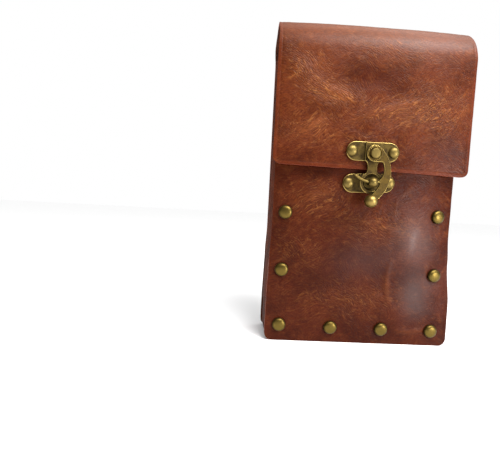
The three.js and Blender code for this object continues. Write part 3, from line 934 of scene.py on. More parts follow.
    def rivet_places(self) -> list[tuple[str, float, float]]:
        """Works out where a panel's rivets are.

        Returns:
            The name, x and z of each.
        """
        column = self.half - self.rivet_inset
        return [(name, across * column, self.rivet_base + rows * self.rivet_pitch)
                for name, across, rows in self.panel_rivets]


@dataclass
class Sheet:
    """A sheet of leather: a grid that is placed point by point, then given its relief and its thickness."""

    name: str
    columns: list[float]
    rows: list[float]
    place: Callable[[float, float], Vector]
    flat: Callable[[float, float], Point]
    relief: Callable[[float, float], float]
    edge: Callable[[float, float], float]
    patches: tuple[Patch, ...] = ()
    creases: tuple[Crease, ...] = ()
    thickness: float = 1.8
    edge_round: float = 0.3

    def build(self, materials: Iterable[bpy.types.Material]) -> bpy.types.Object:
        """Makes the sheet.

        Args:
            materials: The grain side's, the cut edge's and the flesh side's.

        Returns:
            The finished piece.
        """
        piece = Bench.added(bpy.ops.mesh.primitive_grid_add, self.name, x_subdivisions=len(self.columns) - 1,
                            y_subdivisions=len(self.rows) - 1, size=2, calc_uvs=True)
        mesh = piece.data
        spots = [(column, row) for row in self.rows for column in self.columns]
        flats = [self.flat(*spot) for spot in spots]
        mesh.vertices.foreach_set("co", [value * MM for spot in spots for value in self.place(*spot)])
        mesh.update()
        self._map(mesh, flats)
        self._mark(mesh, spots, flats)
        facing = [0.0] * (3 * len(spots))
        mesh.vertex_normals.foreach_get("vector", facing)
        heights = [self.relief(x, y) + sum(crease.height * crease.at(x, y) for crease in self.creases)
                   for x, y in flats]
        outer = [0.0] * (3 * len(spots))
        mesh.vertices.foreach_get("co", outer)
        mesh.vertices.foreach_set("co", [
            at + way * heights[index // 3] * MM for index, (at, way) in enumerate(zip(outer, facing))])
        mesh.update()
        for material in materials:
            mesh.materials.append(material)
        Bench.finish_with(piece, "SOLIDIFY", thickness=self.thickness * MM, offset=-1, use_even_offset=True,
                          material_offset=2, material_offset_rim=1)
        Bench.finish_with(piece, "BEVEL", width=self.edge_round * MM, segments=2, limit_method="ANGLE",
                          angle_limit=math.radians(50), use_clamp_overlap=True)
        Bench.smooth(piece, 45)
        return piece

    def _map(self, mesh: bpy.types.Mesh, flats: list[Point]) -> None:
        """Gives the mesh its UV map, in tenths of a metre on the flat sheet.

        Args:
            mesh: The sheet's mesh.
            flats: Each vertex's place on the flat sheet.
        """
        layer = mesh.uv_layers.active
        layer.name = "Sheet"
        corners = [0] * len(mesh.loops)
        mesh.loops.foreach_get("vertex_index", corners)
        layer.data.foreach_set("uv", [value / SHEET_UNIT for corner in corners for value in flats[corner]])

    def _mark(self, mesh: bpy.types.Mesh, spots: list[Point], flats: list[Point]) -> None:
        """Gives the mesh the attributes that its material reads.

        Args:
            mesh: The sheet's mesh.
            spots: Each vertex's column and row.
            flats: Each vertex's place on the flat sheet.
        """
        crackle, tone = [], []
        for x, y in flats:
            near = [(patch, patch.at(x, y)) for patch in self.patches]
            glow = sum(crease.glow * crease.at(x, y) for crease in self.creases)
            crackle += [sum(getattr(patch, kind) * share for patch, share in near)
                        for kind in ("rising", "falling", "level")]
            tone += [sum(getattr(patch, kind) * share for patch, share in near)
                     for kind in ("dark", "orange", "polish")]
            tone[-2] += glow
        for name, values in (("crackle", crackle), ("tone", tone)):
            mesh.attributes.new(name, "FLOAT_VECTOR", "POINT")
            mesh.attributes[name].data.foreach_set("vector", values)
        mesh.attributes.new("hem", "FLOAT", "POINT")
        mesh.attributes["hem"].data.foreach_set("value", [self.edge(*spot) for spot in spots])


def rolling(x: float, y: float, seed: float) -> float:
    """Works out the surface of worn leather.

    Args:
        x: The place's x on the sheet.
        y: The place's y on the sheet.
        seed: A number of the sheet's own.

    Returns:
        The height, in millimetres.
    """
    height = 0.0
    for reach, rise, shift in ((19.0, 0.16, 0.0), (5.5, 0.07, 7.0)):
        height += rise * noise.fractal(Vector((x / reach, y / reach, seed + shift)), 1.0, 2.0, 2)
    return height


@dataclass
class Shell:
    """The leather of the pouch: its front panel, gusset, back with flap, and belt loops."""

    form: Form
    step: float = 0.95
    hem_line: float = 2.1
    hem_width: float = 0.35
    hem_depth: float = 0.14
    edge_fall: float = 0.12
    edge_reach: float = 0.9
    front_edge_away: float = 1.3
    front_hem: float = 0.5
    back_relief: float = 0.6
    dent_reach: float = 6.0
    dent_depth: float = 0.3
    gusset_leather: float = 1.6
    edge_overhang: float = 0.6
    flange: float = 14.0
    flange_corner: float = 1.0
    gusset_bend: float = 2.5
    gusset_bulge: float = 1.2
    gusset_rise: Point = (0.03, 0.2)
    gusset_relief: float = 0.7
    loop_width: float = 22.0
    loop_spread: float = 56.0
    loop_foot: float = 13.0
    loop_tunnel: float = 50.0
    loop_clear: float = 6.5
    loop_below_mouth: float = 3.0
    loop_ramp: float = 5.0
    loop_slack: float = 0.5
    loop_corner: float = 2.5
    loop_apart: float = 200.0
    hem_columns: tuple[float, ...] = (0.0, 0.35, 0.8, 1.3, 1.7, 2.1, 2.5, 3.0)
    hem_rows: tuple[float, ...] = (0.0, 0.12, 0.35, 0.7, 1.1, 1.5, 1.8, 2.1, 2.4, 2.8, 3.3)
    front_patches: tuple[Patch, ...] = (
        Patch(-28, 83, 18, 10, rising=0.9, orange=0.25),
        Patch(8, 70, 18, 9, falling=0.5, level=0.5, orange=0.2),
        Patch(-34, 56, 13, 11, rising=0.3, falling=0.4),
        Patch(0, 26, 20, 9, falling=0.5, level=0.3, orange=0.15),
        # Painted shade: the left of the front panel darkened.
        Patch(-30, 50, 30, 22, dark=0.35),
        Patch(-10, 5, 50, 14, dark=0.35),
        Patch(-30, 24, 14, 10, level=0.3, rising=0.2),
        Patch(2, 50, 20, 11, dark=0.7, polish=0.3),
        Patch(30, 62, 10, 12, polish=0.9, level=0.2),
        Patch(34, 31, 9, 14, dark=0.6, polish=0.9),
    )
    flap_patches: tuple[Patch, ...] = (
        Patch(-21, 40, 9, 4.5, falling=1.6, orange=1.0),
        Patch(-36, 50, 12, 14, falling=0.7, orange=0.3),
        Patch(-34, 20, 14, 8, rising=0.9, orange=0.3),
        Patch(12, 32, 26, 8, rising=0.9, orange=0.25),
        Patch(36, 36, 16, 12, rising=0.5, falling=0.4, orange=0.15),
        Patch(-2, 50, 20, 9, dark=0.75),
        Patch(-2, 15, 24, 8, falling=0.3, level=0.3, dark=0.45),
        Patch(44, 12, 11, 8, dark=0.8, polish=0.2),
        Patch(-38, 6, 16, 6, dark=0.5),
        # Painted highlight: the top of the flap made paler, standing in for the top light's sheen; its polish
        # gives a real coat there.
        Patch(0, 92, 80, 20, orange=1.2, polish=0.7),
        Patch(30, 82, 34, 18, polish=0.5),
        # Painted light: the whole flap made a little paler than the front panel.
        Patch(0, 45, 200, 60, orange=0.1),
        Patch(10, 66, 20, 8, falling=0.5, orange=0.15),
    )
    front_creases: tuple[Crease, ...] = (
        Crease(20, 36, 34, 98, 4.0, 1.6, 0.7, 0.5),
        Crease(33, 11, 26, 5, -3.0, 1.6, 0.6, 0.5),
        Crease(12, 28, 14, -20, 1.0, 1.4, 0.5, 0.4),
        Crease(-30, 84, 34, 22, 1.0, 2.4, 0.5, 0.4),
        Crease(-20, 76, 36, 12, 1.0, 2.0, -0.35, 0.0),
        Crease(8, 68, 40, -14, 1.5, 2.2, 0.45, 0.3),
        Crease(30, 60, 34, 80, 2.0, 6.0, 0.8, 0.0),
        Crease(34, 32, 30, 85, 0.0, 8.0, -0.7, 0.0),
        Crease(-34, 52, 26, -50, 1.0, 2.5, 0.4, 0.1),
    )
    flap_creases: tuple[Crease, ...] = (
        Crease(-21, 40, 20, -18, 0.6, 1.5, 0.5, 0.9),
        Crease(-34, 21, 22, 28, 0.8, 2.0, 0.6, 0.6),
        Crease(12, 33, 58, 16, 1.5, 2.4, 0.6, 0.35),
        Crease(14, 26, 44, 24, 1.0, 2.0, -0.4, 0.0),
        Crease(50, 34, 16, 46, 0.5, 1.5, 0.5, 0.5),
        Crease(-38, 48, 36, -42, 1.0, 5.0, 0.7, 0.1),
        Crease(-4, 48, 44, 4, 0.0, 8.0, -0.7, 0.0),
        Crease(-10, 16, 34, -14, 2.0, 3.0, 0.4, 0.1),
        Crease(30, 58, 50, -10, 1.0, 7.0, 0.5, 0.0),
    )

    def __post_init__(self) -> None:
        """Makes the leathers and notes where the rivets are."""
        self.rivets = self.form.rivet_places()
        grain = Leather("pouch_leather", tone_and_shade_darkening=0.38).material()
        # The front panel's copy is darkened more than the flap's: painted shade.
        front = Leather("front_leather", tone_and_shade_darkening=0.56).material()
        gusset = Leather("gusset_leather", rough=0.6).material()
        edge = CutEdge().material()
        flesh = FleshSide().material()
        self.materials = (grain, edge, flesh)
        self.front_materials = (front, edge, flesh)
        self.gusset_materials = (gusset, edge, flesh)

    def _spread(self, width: float) -> list[float]:
        """Lays out a sheet's columns, closer together in its hems.

        Args:
            width: The sheet's width.

        Returns:
            Shares of half the width, from -1 to 1.
        """
        half = width / 2
        clear = self.hem_columns[-1] + 1
        left = [in_by - half for in_by in self.hem_columns]
        inner = evenly(clear - half, half - clear, round((width - 2 * clear) / self.step))
        right = [half - in_by for in_by in reversed(self.hem_columns)]
        return [x / half for x in (*left, *inner, *right)]

    def _heights(self, bottom: float, corner: float, top: float) -> list[float]:
        """Lays out a sheet's rows, closer together in its lower corners and its hem.

        Args:
            bottom: The height of the lower edge.
            corner: The radius of the lower corners.
            top: The height of the last row.

        Returns:
            The heights.
        """
        steps = round((top - bottom - corner) / self.step)
        lows = [bottom + low for low in self.hem_rows if low < corner - 0.3]
        return [*lows, *evenly(bottom + corner, top, steps)]

    def _hem(self, away: float) -> float:
        """Works out the line pressed in along an edge, and the fall of the edge itself.

        Args:
            away: The distance from the edge.

        Returns:
            The height, below 0.
        """
        groove = math.exp(-(((away - self.hem_line) / self.hem_width) ** 2))
        fall = math.exp(-((away / self.edge_reach) ** 2))
        return -self.hem_depth * groove - self.edge_fall * fall

    def _dents(self, x: float, z: float) -> float:
        """Works out how deep the rivets press a panel in.

        Args:
            x: The place's x.
            z: Its height.

        Returns:
            The depth, in millimetres.
        """
        near = (math.exp(-((x - at) ** 2 + (z - up) ** 2) / self.dent_reach ** 2)
                for _, at, up in self.rivets)
        return self.dent_depth * sum(near)

    def front_panel(self) -> None:
        """Builds the front panel."""
        form = self.form

        def place(across: float, z: float) -> Vector:
            """Returns a point of the outer face."""
            x = form.outline_x(across, z, form.half - form.corner_inset(z, 0, form.panel_corner))
            return Vector((x, form.front_y(x, z), z))

        def flat(across: float, z: float) -> Point:
            """Returns its place on the flat sheet."""
            return place(across, z).x, z

        def edge(across: float, z: float) -> float:
            """Returns its distance from the cut edge, set further off so that this panel shows less of the
            painted edge highlight than the flap.
            """
            side = (1 - abs(across)) * form.half
            return self.front_edge_away + min(side, z)

        def relief(x: float, z: float) -> float:
            """Returns the leather's own height there."""
            away = min(form.half * 1.02 - abs(x), z)
            return rolling(x, z, 3.0) + self._hem(away) * self.front_hem - self._dents(x, z)

        rows = self._heights(0, form.panel_corner, form.panel_height)
        sheet = Sheet("front_panel_leather", self._spread(form.panel_width), rows, place, flat, relief, edge,
                      self.front_patches, self.front_creases, form.leather)
        Bench.kept(sheet.build(self.front_materials), Body.POUCH, Slot.LEATHER, "front_panel")

    def back_and_flap(self) -> None:
        """Builds the sheet that goes up the back, over the fold and down the front."""
        form = self.form
        mouth = form.panel_height
        lean = (form.back_face - form.flap_y(0, mouth)) / 2
        arch_length = math.pi * math.sqrt((lean ** 2 + form.fold_rise ** 2) / 2)
        fold_end = mouth + arch_length
        end = fold_end + form.flap_drop

        def place(mirrored: float, run: float) -> Vector:
            """Works out a point of the outer face.

            Args:
                mirrored: The share from the right side, -1, to the left one, 1.
                run: The way from the back's lower edge.

            Returns:
                The point.
            """
            across = -mirrored
            if run <= mouth:
                x = form.outline_x(across, run, form.half - form.corner_inset(run, 0, form.panel_corner))
                return Vector((x, form.back_face, run))
            if run >= fold_end:
                z = mouth - (run - fold_end)
                x = form.flap_shift + across * (
                    form.flap_width / 2 - form.corner_inset(z, form.flap_bottom, form.flap_corner))
                z += (mouth - z) / form.flap_drop * (form.flap_edge(x) - form.flap_bottom)
                return Vector((x, form.flap_y(x, z), z))
            over = (run - mouth) / arch_length
            x = form.flap_shift * over + across * lerp(form.panel_width, form.flap_width, over) / 2
            reach_y = form.flap_y(x, mouth)
            middle = (form.back_face + reach_y) / 2
            reach = (form.back_face - reach_y) / 2
            turn = over * math.pi
            return Vector((x, middle + reach * math.cos(turn), mouth + form.fold_rise * math.sin(turn)))

        def flat(across: float, run: float) -> Point:
            """Returns its place on the flat sheet, measured up from the flap's lower edge."""
            return place(across, run).x, end - run

        def edge(across: float, run: float) -> float:
            """Returns its distance from the cut edge."""
            side = (1 - abs(across)) * form.flap_width / 2
            return min(side, run, end - run)

        def relief(x: float, up: float) -> float:
            """Works out the leather's own height.

            Args:
                x: The place's x.
                up: The way from the flap's lower edge.

            Returns:
                The height.
            """
            run = end - up
            half = form.flap_width / 2 if run > mouth else form.half
            shift = form.flap_shift if run > mouth else 0.0
            away = min(half - abs(x - shift), up, run)
            height = rolling(x, up, 11.0) + self._hem(away)
            return height if run >= mouth else height * self.back_relief - self._dents(x, run)

        back = self._heights(0, form.panel_corner, mouth)
        back = back[:10] + back[10::2]
        arch = evenly(mouth, fold_end, 64)[1:-1]
        flap = self._heights(form.flap_bottom, form.flap_corner, mouth)
        flap_rows = [fold_end + mouth - z for z in reversed(flap)]
        sheet = Sheet("back_and_flap_leather", self._spread(form.flap_width), [*back, *arch, *flap_rows], place,
                      flat, relief, edge, self.flap_patches, self.flap_creases, form.leather)
        Bench.kept(sheet.build(self.materials), Body.POUCH, Slot.LEATHER, "back_and_flap")

    def _gusset_route(self) -> list[tuple[Point, Point]]:
        """Lays out the gusset's way round.

        Returns:
            Each step's point of the wall and point of the flanges' edge.
        """
        form = self.form

        def side(half: float, bottom: float, corner: float) -> list[Point]:
            """Returns the half width and height of each step, from the mouth to the corner's end."""
            straight = [(half, z) for z in evenly(form.panel_height, bottom + corner, 84)]
            return straight + arc(half - corner, bottom + corner, corner, 0, -math.pi / 2, 10)[1:]

        wall_half = form.half - self.edge_overhang
        wall = side(wall_half, 0, form.panel_corner)
        edge = side(wall_half - self.flange, self.flange, self.flange_corner)

        def whole(across: float) -> list[tuple[Point, Point]]:
            """Returns one side's steps in the frame."""
            return [((form.outline_x(across, z, half), z), (form.outline_x(across, z, inner), up))
                    for (half, z), (inner, up) in zip(wall, edge)]

        left, right = whole(-1), list(reversed(whole(1)))
        start, end = left[-1], right[0]
        middle = [tuple(between(start[part], end[part], share) for part in (0, 1))
                  for share in evenly(0, 1, 50)[1:-1]]
        return [*left, *middle, *right]

    def gusset(self) -> None:
        """Builds the gusset: one strip down one side, along the bottom and up the other."""
        form = self.form
        route = self._gusset_route()
        bend = self.gusset_bend
        flange_stops = evenly(self.flange, bend, 7)
        turns = evenly(0, math.pi / 2, 5)[1:-1]
        wall_shares = evenly(0, 1, 14)
        bends = [(bend - bend * math.sin(turn), bend - bend * math.cos(turn)) for turn in turns]
        front, back = -1.0, -2.0
        stations: list[tuple[float, float, float]] = [(stop, 0.0, front) for stop in flange_stops]
        stations += [(away, deep, front) for away, deep in bends]
        stations += [(0.0, 0.0, share) for share in wall_shares]
        stations += [(away, -deep, back) for away, deep in reversed(bends)]
        stations += [(stop, 0.0, back) for stop in reversed(flange_stops)]

        def place(column: float, row: float) -> Vector:
            """Works out a point of the outer face.

            Args:
                column: The number of its station.
                row: The number of its step on the way round.

            Returns:
                The point.
            """
            away, deep, kind = stations[round(column)]
            x, z = between(*route[round(row)], away / self.flange)
            front_y = form.front_y(x, z) + form.leather + form.gap
            back_y = form.back_face - form.leather - form.gap
            if kind in (front, back):
                return Vector((x, (front_y if kind == front else back_y) + deep, z))
            rise = smoothstep(z / form.panel_height, *self.gusset_rise)
            swell = self.gusset_bulge * rise * math.sin(math.pi * kind)
            return Vector((x + math.copysign(swell, x), lerp(front_y + bend, back_y - bend, kind), z))

        runs = [0.0]
        for before, after in zip(route, route[1:]):
            runs.append(runs[-1] + math.dist(before[0], after[0]))
        station_step = 2.0
        wides = [0.0]
        for before, after in zip(stations, stations[1:]):
            on_flange = before[2] == after[2] < 0 and before[1] == after[1] == 0.0
            wides.append(wides[-1] + (before[0] - after[0] if on_flange else station_step))

        def flat(column: float, row: float) -> Point:
            """Returns its place on the flat strip."""
            return wides[round(column)], runs[round(row)]

        def edge(column: float, row: float) -> float:
            """Returns its distance from the cut edge."""
            return min(wides[round(column)], runs[round(row)], runs[-1] - runs[round(row)])

        def relief(x: float, y: float) -> float:
            """Returns the leather's own height there."""
            return rolling(x, y, 23.0) * self.gusset_relief

        rows = [float(index) for index in range(len(route))]
        columns = [float(index) for index in range(len(stations))]
        sheet = Sheet("gusset_leather", columns, rows, place, flat, relief, edge, thickness=self.gusset_leather)
        Bench.kept(sheet.build(self.gusset_materials), Body.POUCH, Slot.GUSSET, "gusset")

    def belt_loops(self) -> None:
        """Builds the two straps on the back that a belt goes through."""
        form = self.form
        length = 2 * self.loop_foot + self.loop_tunnel
        base = form.panel_height - self.loop_below_mouth - length
        rows = evenly(0, length, 96)
        for side, name in ((-1, "belt_loop_left"), (1, "belt_loop_right")):
            centre = side * self.loop_spread / 2

            def lift(run: float) -> float:
                """Returns how far the strap stands off the back."""
                near = min(run, length - run) - self.loop_foot
                return self.loop_clear * smoothstep(near, -self.loop_slack, self.loop_ramp + self.loop_slack)

            def place(across: float, run: float) -> Vector:
                """Works out a point of the outer face.

                Args:
                    across: The share from the right side, -1, to the left one, 1.
                    run: The way from the strap's lower end.

                Returns:
                    The point.
                """
                half = self.loop_width / 2 - form.corner_inset(min(run, length - run), 0, self.loop_corner)
                y = form.back_face + form.gap + form.leather + lift(run)
                return Vector((centre - across * half, y, base + run))

            def flat(across: float, run: float) -> Point:
                """Returns its place on the flat strap."""
                return across * self.loop_width / 2 + self.loop_apart * side, run

            def edge(across: float, run: float) -> float:
                """Returns its distance from the cut edge."""
                return min((1 - abs(across)) * self.loop_width / 2, run, length - run)

            def relief(x: float, run: float) -> float:
                """Returns the leather's own height there."""
                away = min(self.loop_width / 2 - abs(x - 200 * side), run, length - run)
                return rolling(x, run, 31.0) * 0.5 + self._hem(away)

            sheet = Sheet(f"{name}_leather", self._spread(self.loop_width), rows, place, flat, relief, edge,
                          thickness=form.leather)
            Bench.kept(sheet.build(self.materials), Body.POUCH, Slot.LEATHER, name)


@dataclass
class Rivets:
    """The domed rivets of the panels and the belt loops, each with a cap on the inside."""

    form: Form
    shell: Shell
    head: float = 7.9
    dome: float = 2.1
    shank: float = 3.0
    cap: float = 6.0
    cap_thickness: float = 0.7
    skirt: float = 0.35
    skirt_slope: float = 0.5
    skirt_edge: float = 0.12
    cap_chamfer: float = 0.2
    fullness: float = 2.6

    def __post_init__(self) -> None:
        """Makes the brass."""
        self.brass = AntiqueBrass("rivet_brass", WearAndHighlight.CROWN, bright=(0.108, 0.074, 0.018),
                                  mellow=(0.064, 0.043, 0.0097), patina_share=0.45, rough=0.36).material()

    def _blank(self, grip: float) -> bpy.types.Object:
        """Turns the rivet that the others are copied from, with its head's seat at level 0.

        Args:
            grip: How much leather it holds.

        Returns:
            The rivet.
        """
        head, shank, cap = self.head / 2, self.shank / 2, self.cap / 2
        inside = -grip - self.form.gap
        end = inside - self.cap_thickness
        profile = [(0.0, end), (cap - self.cap_chamfer, end), (cap, end + self.cap_chamfer), (cap, inside),
                   (shank, inside), (shank, 0.0), (head - self.skirt_slope, -self.skirt),
                   (head - self.skirt_edge, -self.skirt)]
        power = 2 / self.fullness
        profile += [(head * math.cos(a) ** power, self.form.gap + self.dome * math.sin(a) ** power)
                    for a in evenly(0, math.pi / 2, 14)[:-1]]
        profile.append((0.0, self.form.gap + self.dome))
        piece = Bench.turned("rivet_blank", profile, 40)
        Bench.smooth(piece, 50)
        piece.data.materials.append(self.brass)
        return piece

    def _set(self, blank: bpy.types.Object, node: str, at: Vector, facing: Vector) -> None:
        """Sets a copy of a rivet.

        Args:
            blank: The rivet.
            node: The node that it stands for.
            at: Where its axis meets the outer face, in millimetres.
            facing: The way its head points.
        """
        piece = Bench.copied(blank, f"{node}_brass")
        turn = Vector((0, 0, 1)).rotation_difference(facing).to_matrix().to_4x4()
        Bench.placed(piece, Matrix.Translation(at * MM) @ turn)
        Bench.kept(piece, Body.POUCH, Slot.BRASS, node)

    def build(self) -> None:
        """Builds all of them."""
        form, shell = self.form, self.shell
        backwards = Vector((0, 1, 0))
        blank = self._blank(form.leather + form.gap + shell.gusset_leather)
        for place, x, z in form.rivet_places():
            front = Vector((x, form.front_y(x, z), z))
            self._set(blank, f"front_rivet_{place}", front, form.front_normal(x, z))
            self._set(blank, f"back_rivet_{place}", Vector((x, form.back_face, z)), backwards)
        bpy.data.objects.remove(blank)
        blank = self._blank(2 * form.leather + form.gap)
        top = form.panel_height - shell.loop_below_mouth - shell.loop_foot / 2
        bottom = top - shell.loop_foot - shell.loop_tunnel
        face = form.back_face + form.gap + form.leather
        for side, sign in (("left", -1), ("right", 1)):
            for level, z in (("lower", bottom), ("upper", top)):
                at = Vector((sign * shell.loop_spread / 2, face, z))
                self._set(blank, f"loop_rivet_{side}_{level}", at, backwards)
        bpy.data.objects.remove(blank)


@dataclass
class Clasp:
    """The brass clasp, drawn in its own plane.

    There x runs to the right and y up, both from the pivot, and levels run outwards from the flap's face. The
    places below the sizes are the hook's, as shares of its reach.
    """

    form: Form
    height: float = 109.2
    plate_length: float = 29.2
    plate_width: float = 10.6
    plate_thickness: float = 1.2
    plate_rise: float = 1.4
    rivet_inset: float = 3.0
    rivet_head: float = 6.1
    rivet_dome: float = 1.6
    rivet_shank: float = 2.4
    rivet_cap: float = 4.6
    rivet_seat: float = 0.3
    tilt: float = 2.6
    band_width: float = 8.8
    band_rise: float = 1.0
    tongue_width: float = 5.2
    tongue_thickness: float = 1.3
    ring_radius: float = 6.3
    ring_bore: float = 4.7
    ring_flare: float = 4.4
    collar_radius: float = 3.9
    collar_rise: float = 0.9
    pivot_shank: float = 3.6
    pivot_head: float = 5.3
    pivot_head_height: float = 1.0
    pivot_softness: float = 0.45
    pivot_crown: float = 0.05
    pivot_tail: float = 5.0
    pivot_tail_height: float = 0.7
    reach: float = 15.5
    hook_thickness: float = 1.8
    hook_eye: float = 8.8
    prong: float = 1.4
    prong_tip: float = 38.7
    prong_root: float = 14.0
    knob_radius: float = 3.6
    post_ball: float = 2.8
    post_neck: float = 1.8
    post_collar: float = 2.9
    post_collar_height: float = 0.8
    post_tail: float = 1.4
    post_cap: float = 3.4
    cap_thickness: float = 0.7
    rounding: float = 0.46
    eye_groove_out: float = 3.55
    eye_groove_depth: float = 0.7
    outer: Point = (-0.577, -0.685)
    inner: Point = (-0.196, -0.548)
    inner_radius: float = 0.565
    fork: Point = (0.177, -0.917)
    notch: Point = (0.244, -1.054)
    waist: Point = (0.15, -1.3)
    heel: Point = (-0.06, -1.48)
    toe: Point = (0.199, -1.571)
    knob: Point = (-0.018, -1.655)

    def __post_init__(self) -> None:
        """Works out the levels and makes the brasses."""
        form = self.form
        self.rivet_reach = self.plate_length / 2 - self.rivet_inset
        self.panel_level = form.flap_face + form.depth / 2 + form.bulge
        self.plate_back = form.gap
        self.plate_top = self.plate_back + self.plate_thickness
        self.band_top = self.plate_top + self.band_rise
        self.collar_top = self.band_top + self.collar_rise
        self.hook_back = self.collar_top + form.gap
        self.hook_front = self.hook_back + self.hook_thickness
        self.hook_middle = (self.hook_back + self.hook_front) / 2
        self.lower_back = self.panel_level + form.gap
        self.lower_top = self.lower_back + self.plate_thickness
        self.plate_brass = AntiqueBrass("plate_brass", WearAndHighlight.EDGES, patina_share=1.0).material()
        # The hook's bright edge colour is very pale, so its edges keep a painted highlight on every side.
        self.hook_brass = AntiqueBrass("hook_brass", WearAndHighlight.EDGES, bright=(0.75, 0.53, 0.155),
                                       mellow=(0.135, 0.083, 0.017), patina_share=0.9).material()
        self.dome_brass = AntiqueBrass("dome_brass", WearAndHighlight.CROWN, bright=(0.137, 0.096, 0.029),
                                       patina_share=0.4, rough=0.42).material()
        self.knob_brass = AntiqueBrass("knob_brass", WearAndHighlight.CROWN, bright=(0.235, 0.162, 0.049),
                                       patina_share=0.25, rough=0.4).material()
        self.to_frame = (Matrix.Translation(Vector((0, form.flap_face, self.height)) * MM)
                         @ Matrix.Rotation(math.pi / 2, 4, "X"))

    def _spot(self, share: Point) -> Point:
        """Returns a place given as shares of the reach."""
        return share[0] * self.reach, share[1] * self.reach

    def _finish(self, piece: bpy.types.Object, brass: bpy.types.Material | None, body: Body, node: str,
                local: Matrix = Matrix.Identity(4), angle: float = 38) -> None:
        """Sets a piece in its place, gives it its brass and keeps it.

        Args:
            piece: The piece in the clasp's plane.
            brass: Its material, or None where its parts have their own.
            body: What it moves with.
            node: The node that it stands for.
            local: Its place in the clasp's plane.
            angle: Edges sharper than this many degrees stay crisp.
        """
        Bench.smooth(piece, angle)
        Bench.finish_with(piece, "WEIGHTED_NORMAL", keep_sharp=True, weight=50)
        Bench.placed(piece, self.to_frame @ local)
        if brass:
            piece.data.materials.clear()
            piece.data.materials.append(brass)
        Bench.kept(piece, body, Slot.BRASS, node)

    def _round_edges(self, piece: bpy.types.Object, width: float) -> None:
        """Rounds a piece's sharp edges."""
        Bench.finish_with(piece, "BEVEL", width=width * MM, segments=4, limit_method="ANGLE",
                          angle_limit=math.radians(35), use_clamp_overlap=True)

    def _stadium(self, centre: float) -> list[Point]:
        """Draws a plate with round ends.

        Args:
            centre: The y of its middle.

        Returns:
            Its outline.
        """
        half = self.plate_width / 2
        straight = self.plate_length / 2 - half
        return [*arc(straight, centre, half, -math.pi / 2, math.pi / 2, 28),
                *arc(-straight, centre, half, math.pi / 2, 1.5 * math.pi, 28)]

    def _plate_holes(self, piece: bpy.types.Object, centre: float, low: float, high: float) -> None:
        """Cuts the holes of a plate's two rivets."""
        for x in (-self.rivet_reach, self.rivet_reach):
            Bench.cut(piece, Bench.drill(x, centre, self.rivet_shank / 2 + self.form.gap, low, high))

    def upper_plate(self) -> None:
        """Builds the plate on the flap, with the band that ends in a ring round the post."""
        gap = self.form.gap
        top = self.plate_rise + self.plate_width / 2 - gap
        bottom = self.plate_rise - self.plate_width / 2
        flare_y = self.ring_flare - self.reach
        flare_x = math.sqrt(self.ring_radius ** 2 - self.ring_flare ** 2)
        start = math.atan2(self.ring_flare, -flare_x)
        end = math.atan2(self.ring_flare, flare_x) + 2 * math.pi
        neck_y = (bottom + flare_y) / 2
        band, tongue = self.band_width / 2, self.tongue_width / 2
        outline = [
            (-band, top),
            *curve((-band, bottom), (-tongue, bottom), (-tongue, neck_y)),
            *curve((-tongue, neck_y), (-tongue, flare_y + 0.3), (-flare_x, flare_y))[1:-1],
            *arc(0, -self.reach, self.ring_radius, start, end, 56),
            *curve((flare_x, flare_y), (tongue, flare_y + 0.3), (tongue, neck_y))[1:-1],
            *curve((tongue, neck_y), (tongue, bottom), (band, bottom)),
            (band, top),
        ]
        plate = Bench.cast("clasp_upper_plate_brass", self._stadium(self.plate_rise), self.plate_back,
                           self.plate_top)
        self._plate_holes(plate, self.plate_rise, 0, self.plate_top + 1)
        self._round_edges(plate, self.rounding)
        ribbon = Bench.cast("ribbon", outline, self.band_top - self.tongue_thickness, self.band_top)
        Bench.cut(ribbon, Bench.drill(0, -self.reach, self.ring_bore, 0, self.collar_top))
        self._round_edges(ribbon, self.rounding)
        collar = Bench.cast("collar", arc(0, 0, self.collar_radius, 0, 2 * math.pi, 48)[:-1], self.plate_top,
                            self.collar_top)
        Bench.cut(plate, ribbon, "UNION")
        Bench.cut(plate, collar, "UNION")
        Bench.cut(plate, Bench.drill(0, 0, self.pivot_shank / 2 + gap, -1, self.hook_back))
        tail_top = self.plate_back + self.pivot_tail_height + gap
        Bench.cut(plate, Bench.drill(0, 0, self.pivot_tail / 2 + gap, -1, tail_top))
        self._finish(plate, self.plate_brass, Body.POUCH, "clasp_upper_plate")

    def lower_plate(self) -> None:
        """Builds the plate on the front panel."""
        low, high = self.panel_level - 1, self.lower_top + 1
        plate = Bench.cast("clasp_lower_plate_brass", self._stadium(0), self.lower_back, self.lower_top)
        self._plate_holes(plate, 0, low, high)
        Bench.cut(plate, Bench.drill(0, 0, self.post_tail + self.form.gap, low, high))
        self._round_edges(plate, self.rounding)
        tilt = Matrix.Rotation(math.radians(self.tilt), 4, "Z")
        local = Matrix.Translation((0, -self.reach * MM, 0)) @ tilt
        self._finish(plate, self.plate_brass, Body.POUCH, "clasp_lower_plate", local)

    def pivot(self) -> None:
        """Builds the rivet that the hook swings on."""
        radius, shank, tail = self.pivot_head / 2, self.pivot_shank / 2, self.pivot_tail / 2
        back, head = self.plate_back, self.hook_front + self.form.gap
        tail_top, head_top = back + self.pivot_tail_height, head + self.pivot_head_height
        soft = self.pivot_softness * self.pivot_head_height
        profile = [(0, back), (tail, back), (tail, tail_top), (shank, tail_top), (shank, head), (radius, head),
                   *arc(radius - soft, head_top - soft, soft, 0, math.pi / 2, 6),
                   (0, head_top + self.pivot_crown)]
        piece = Bench.turned("clasp_pivot_brass", profile, 48)
        self._finish(piece, self.dome_brass, Body.POUCH, "clasp_pivot")

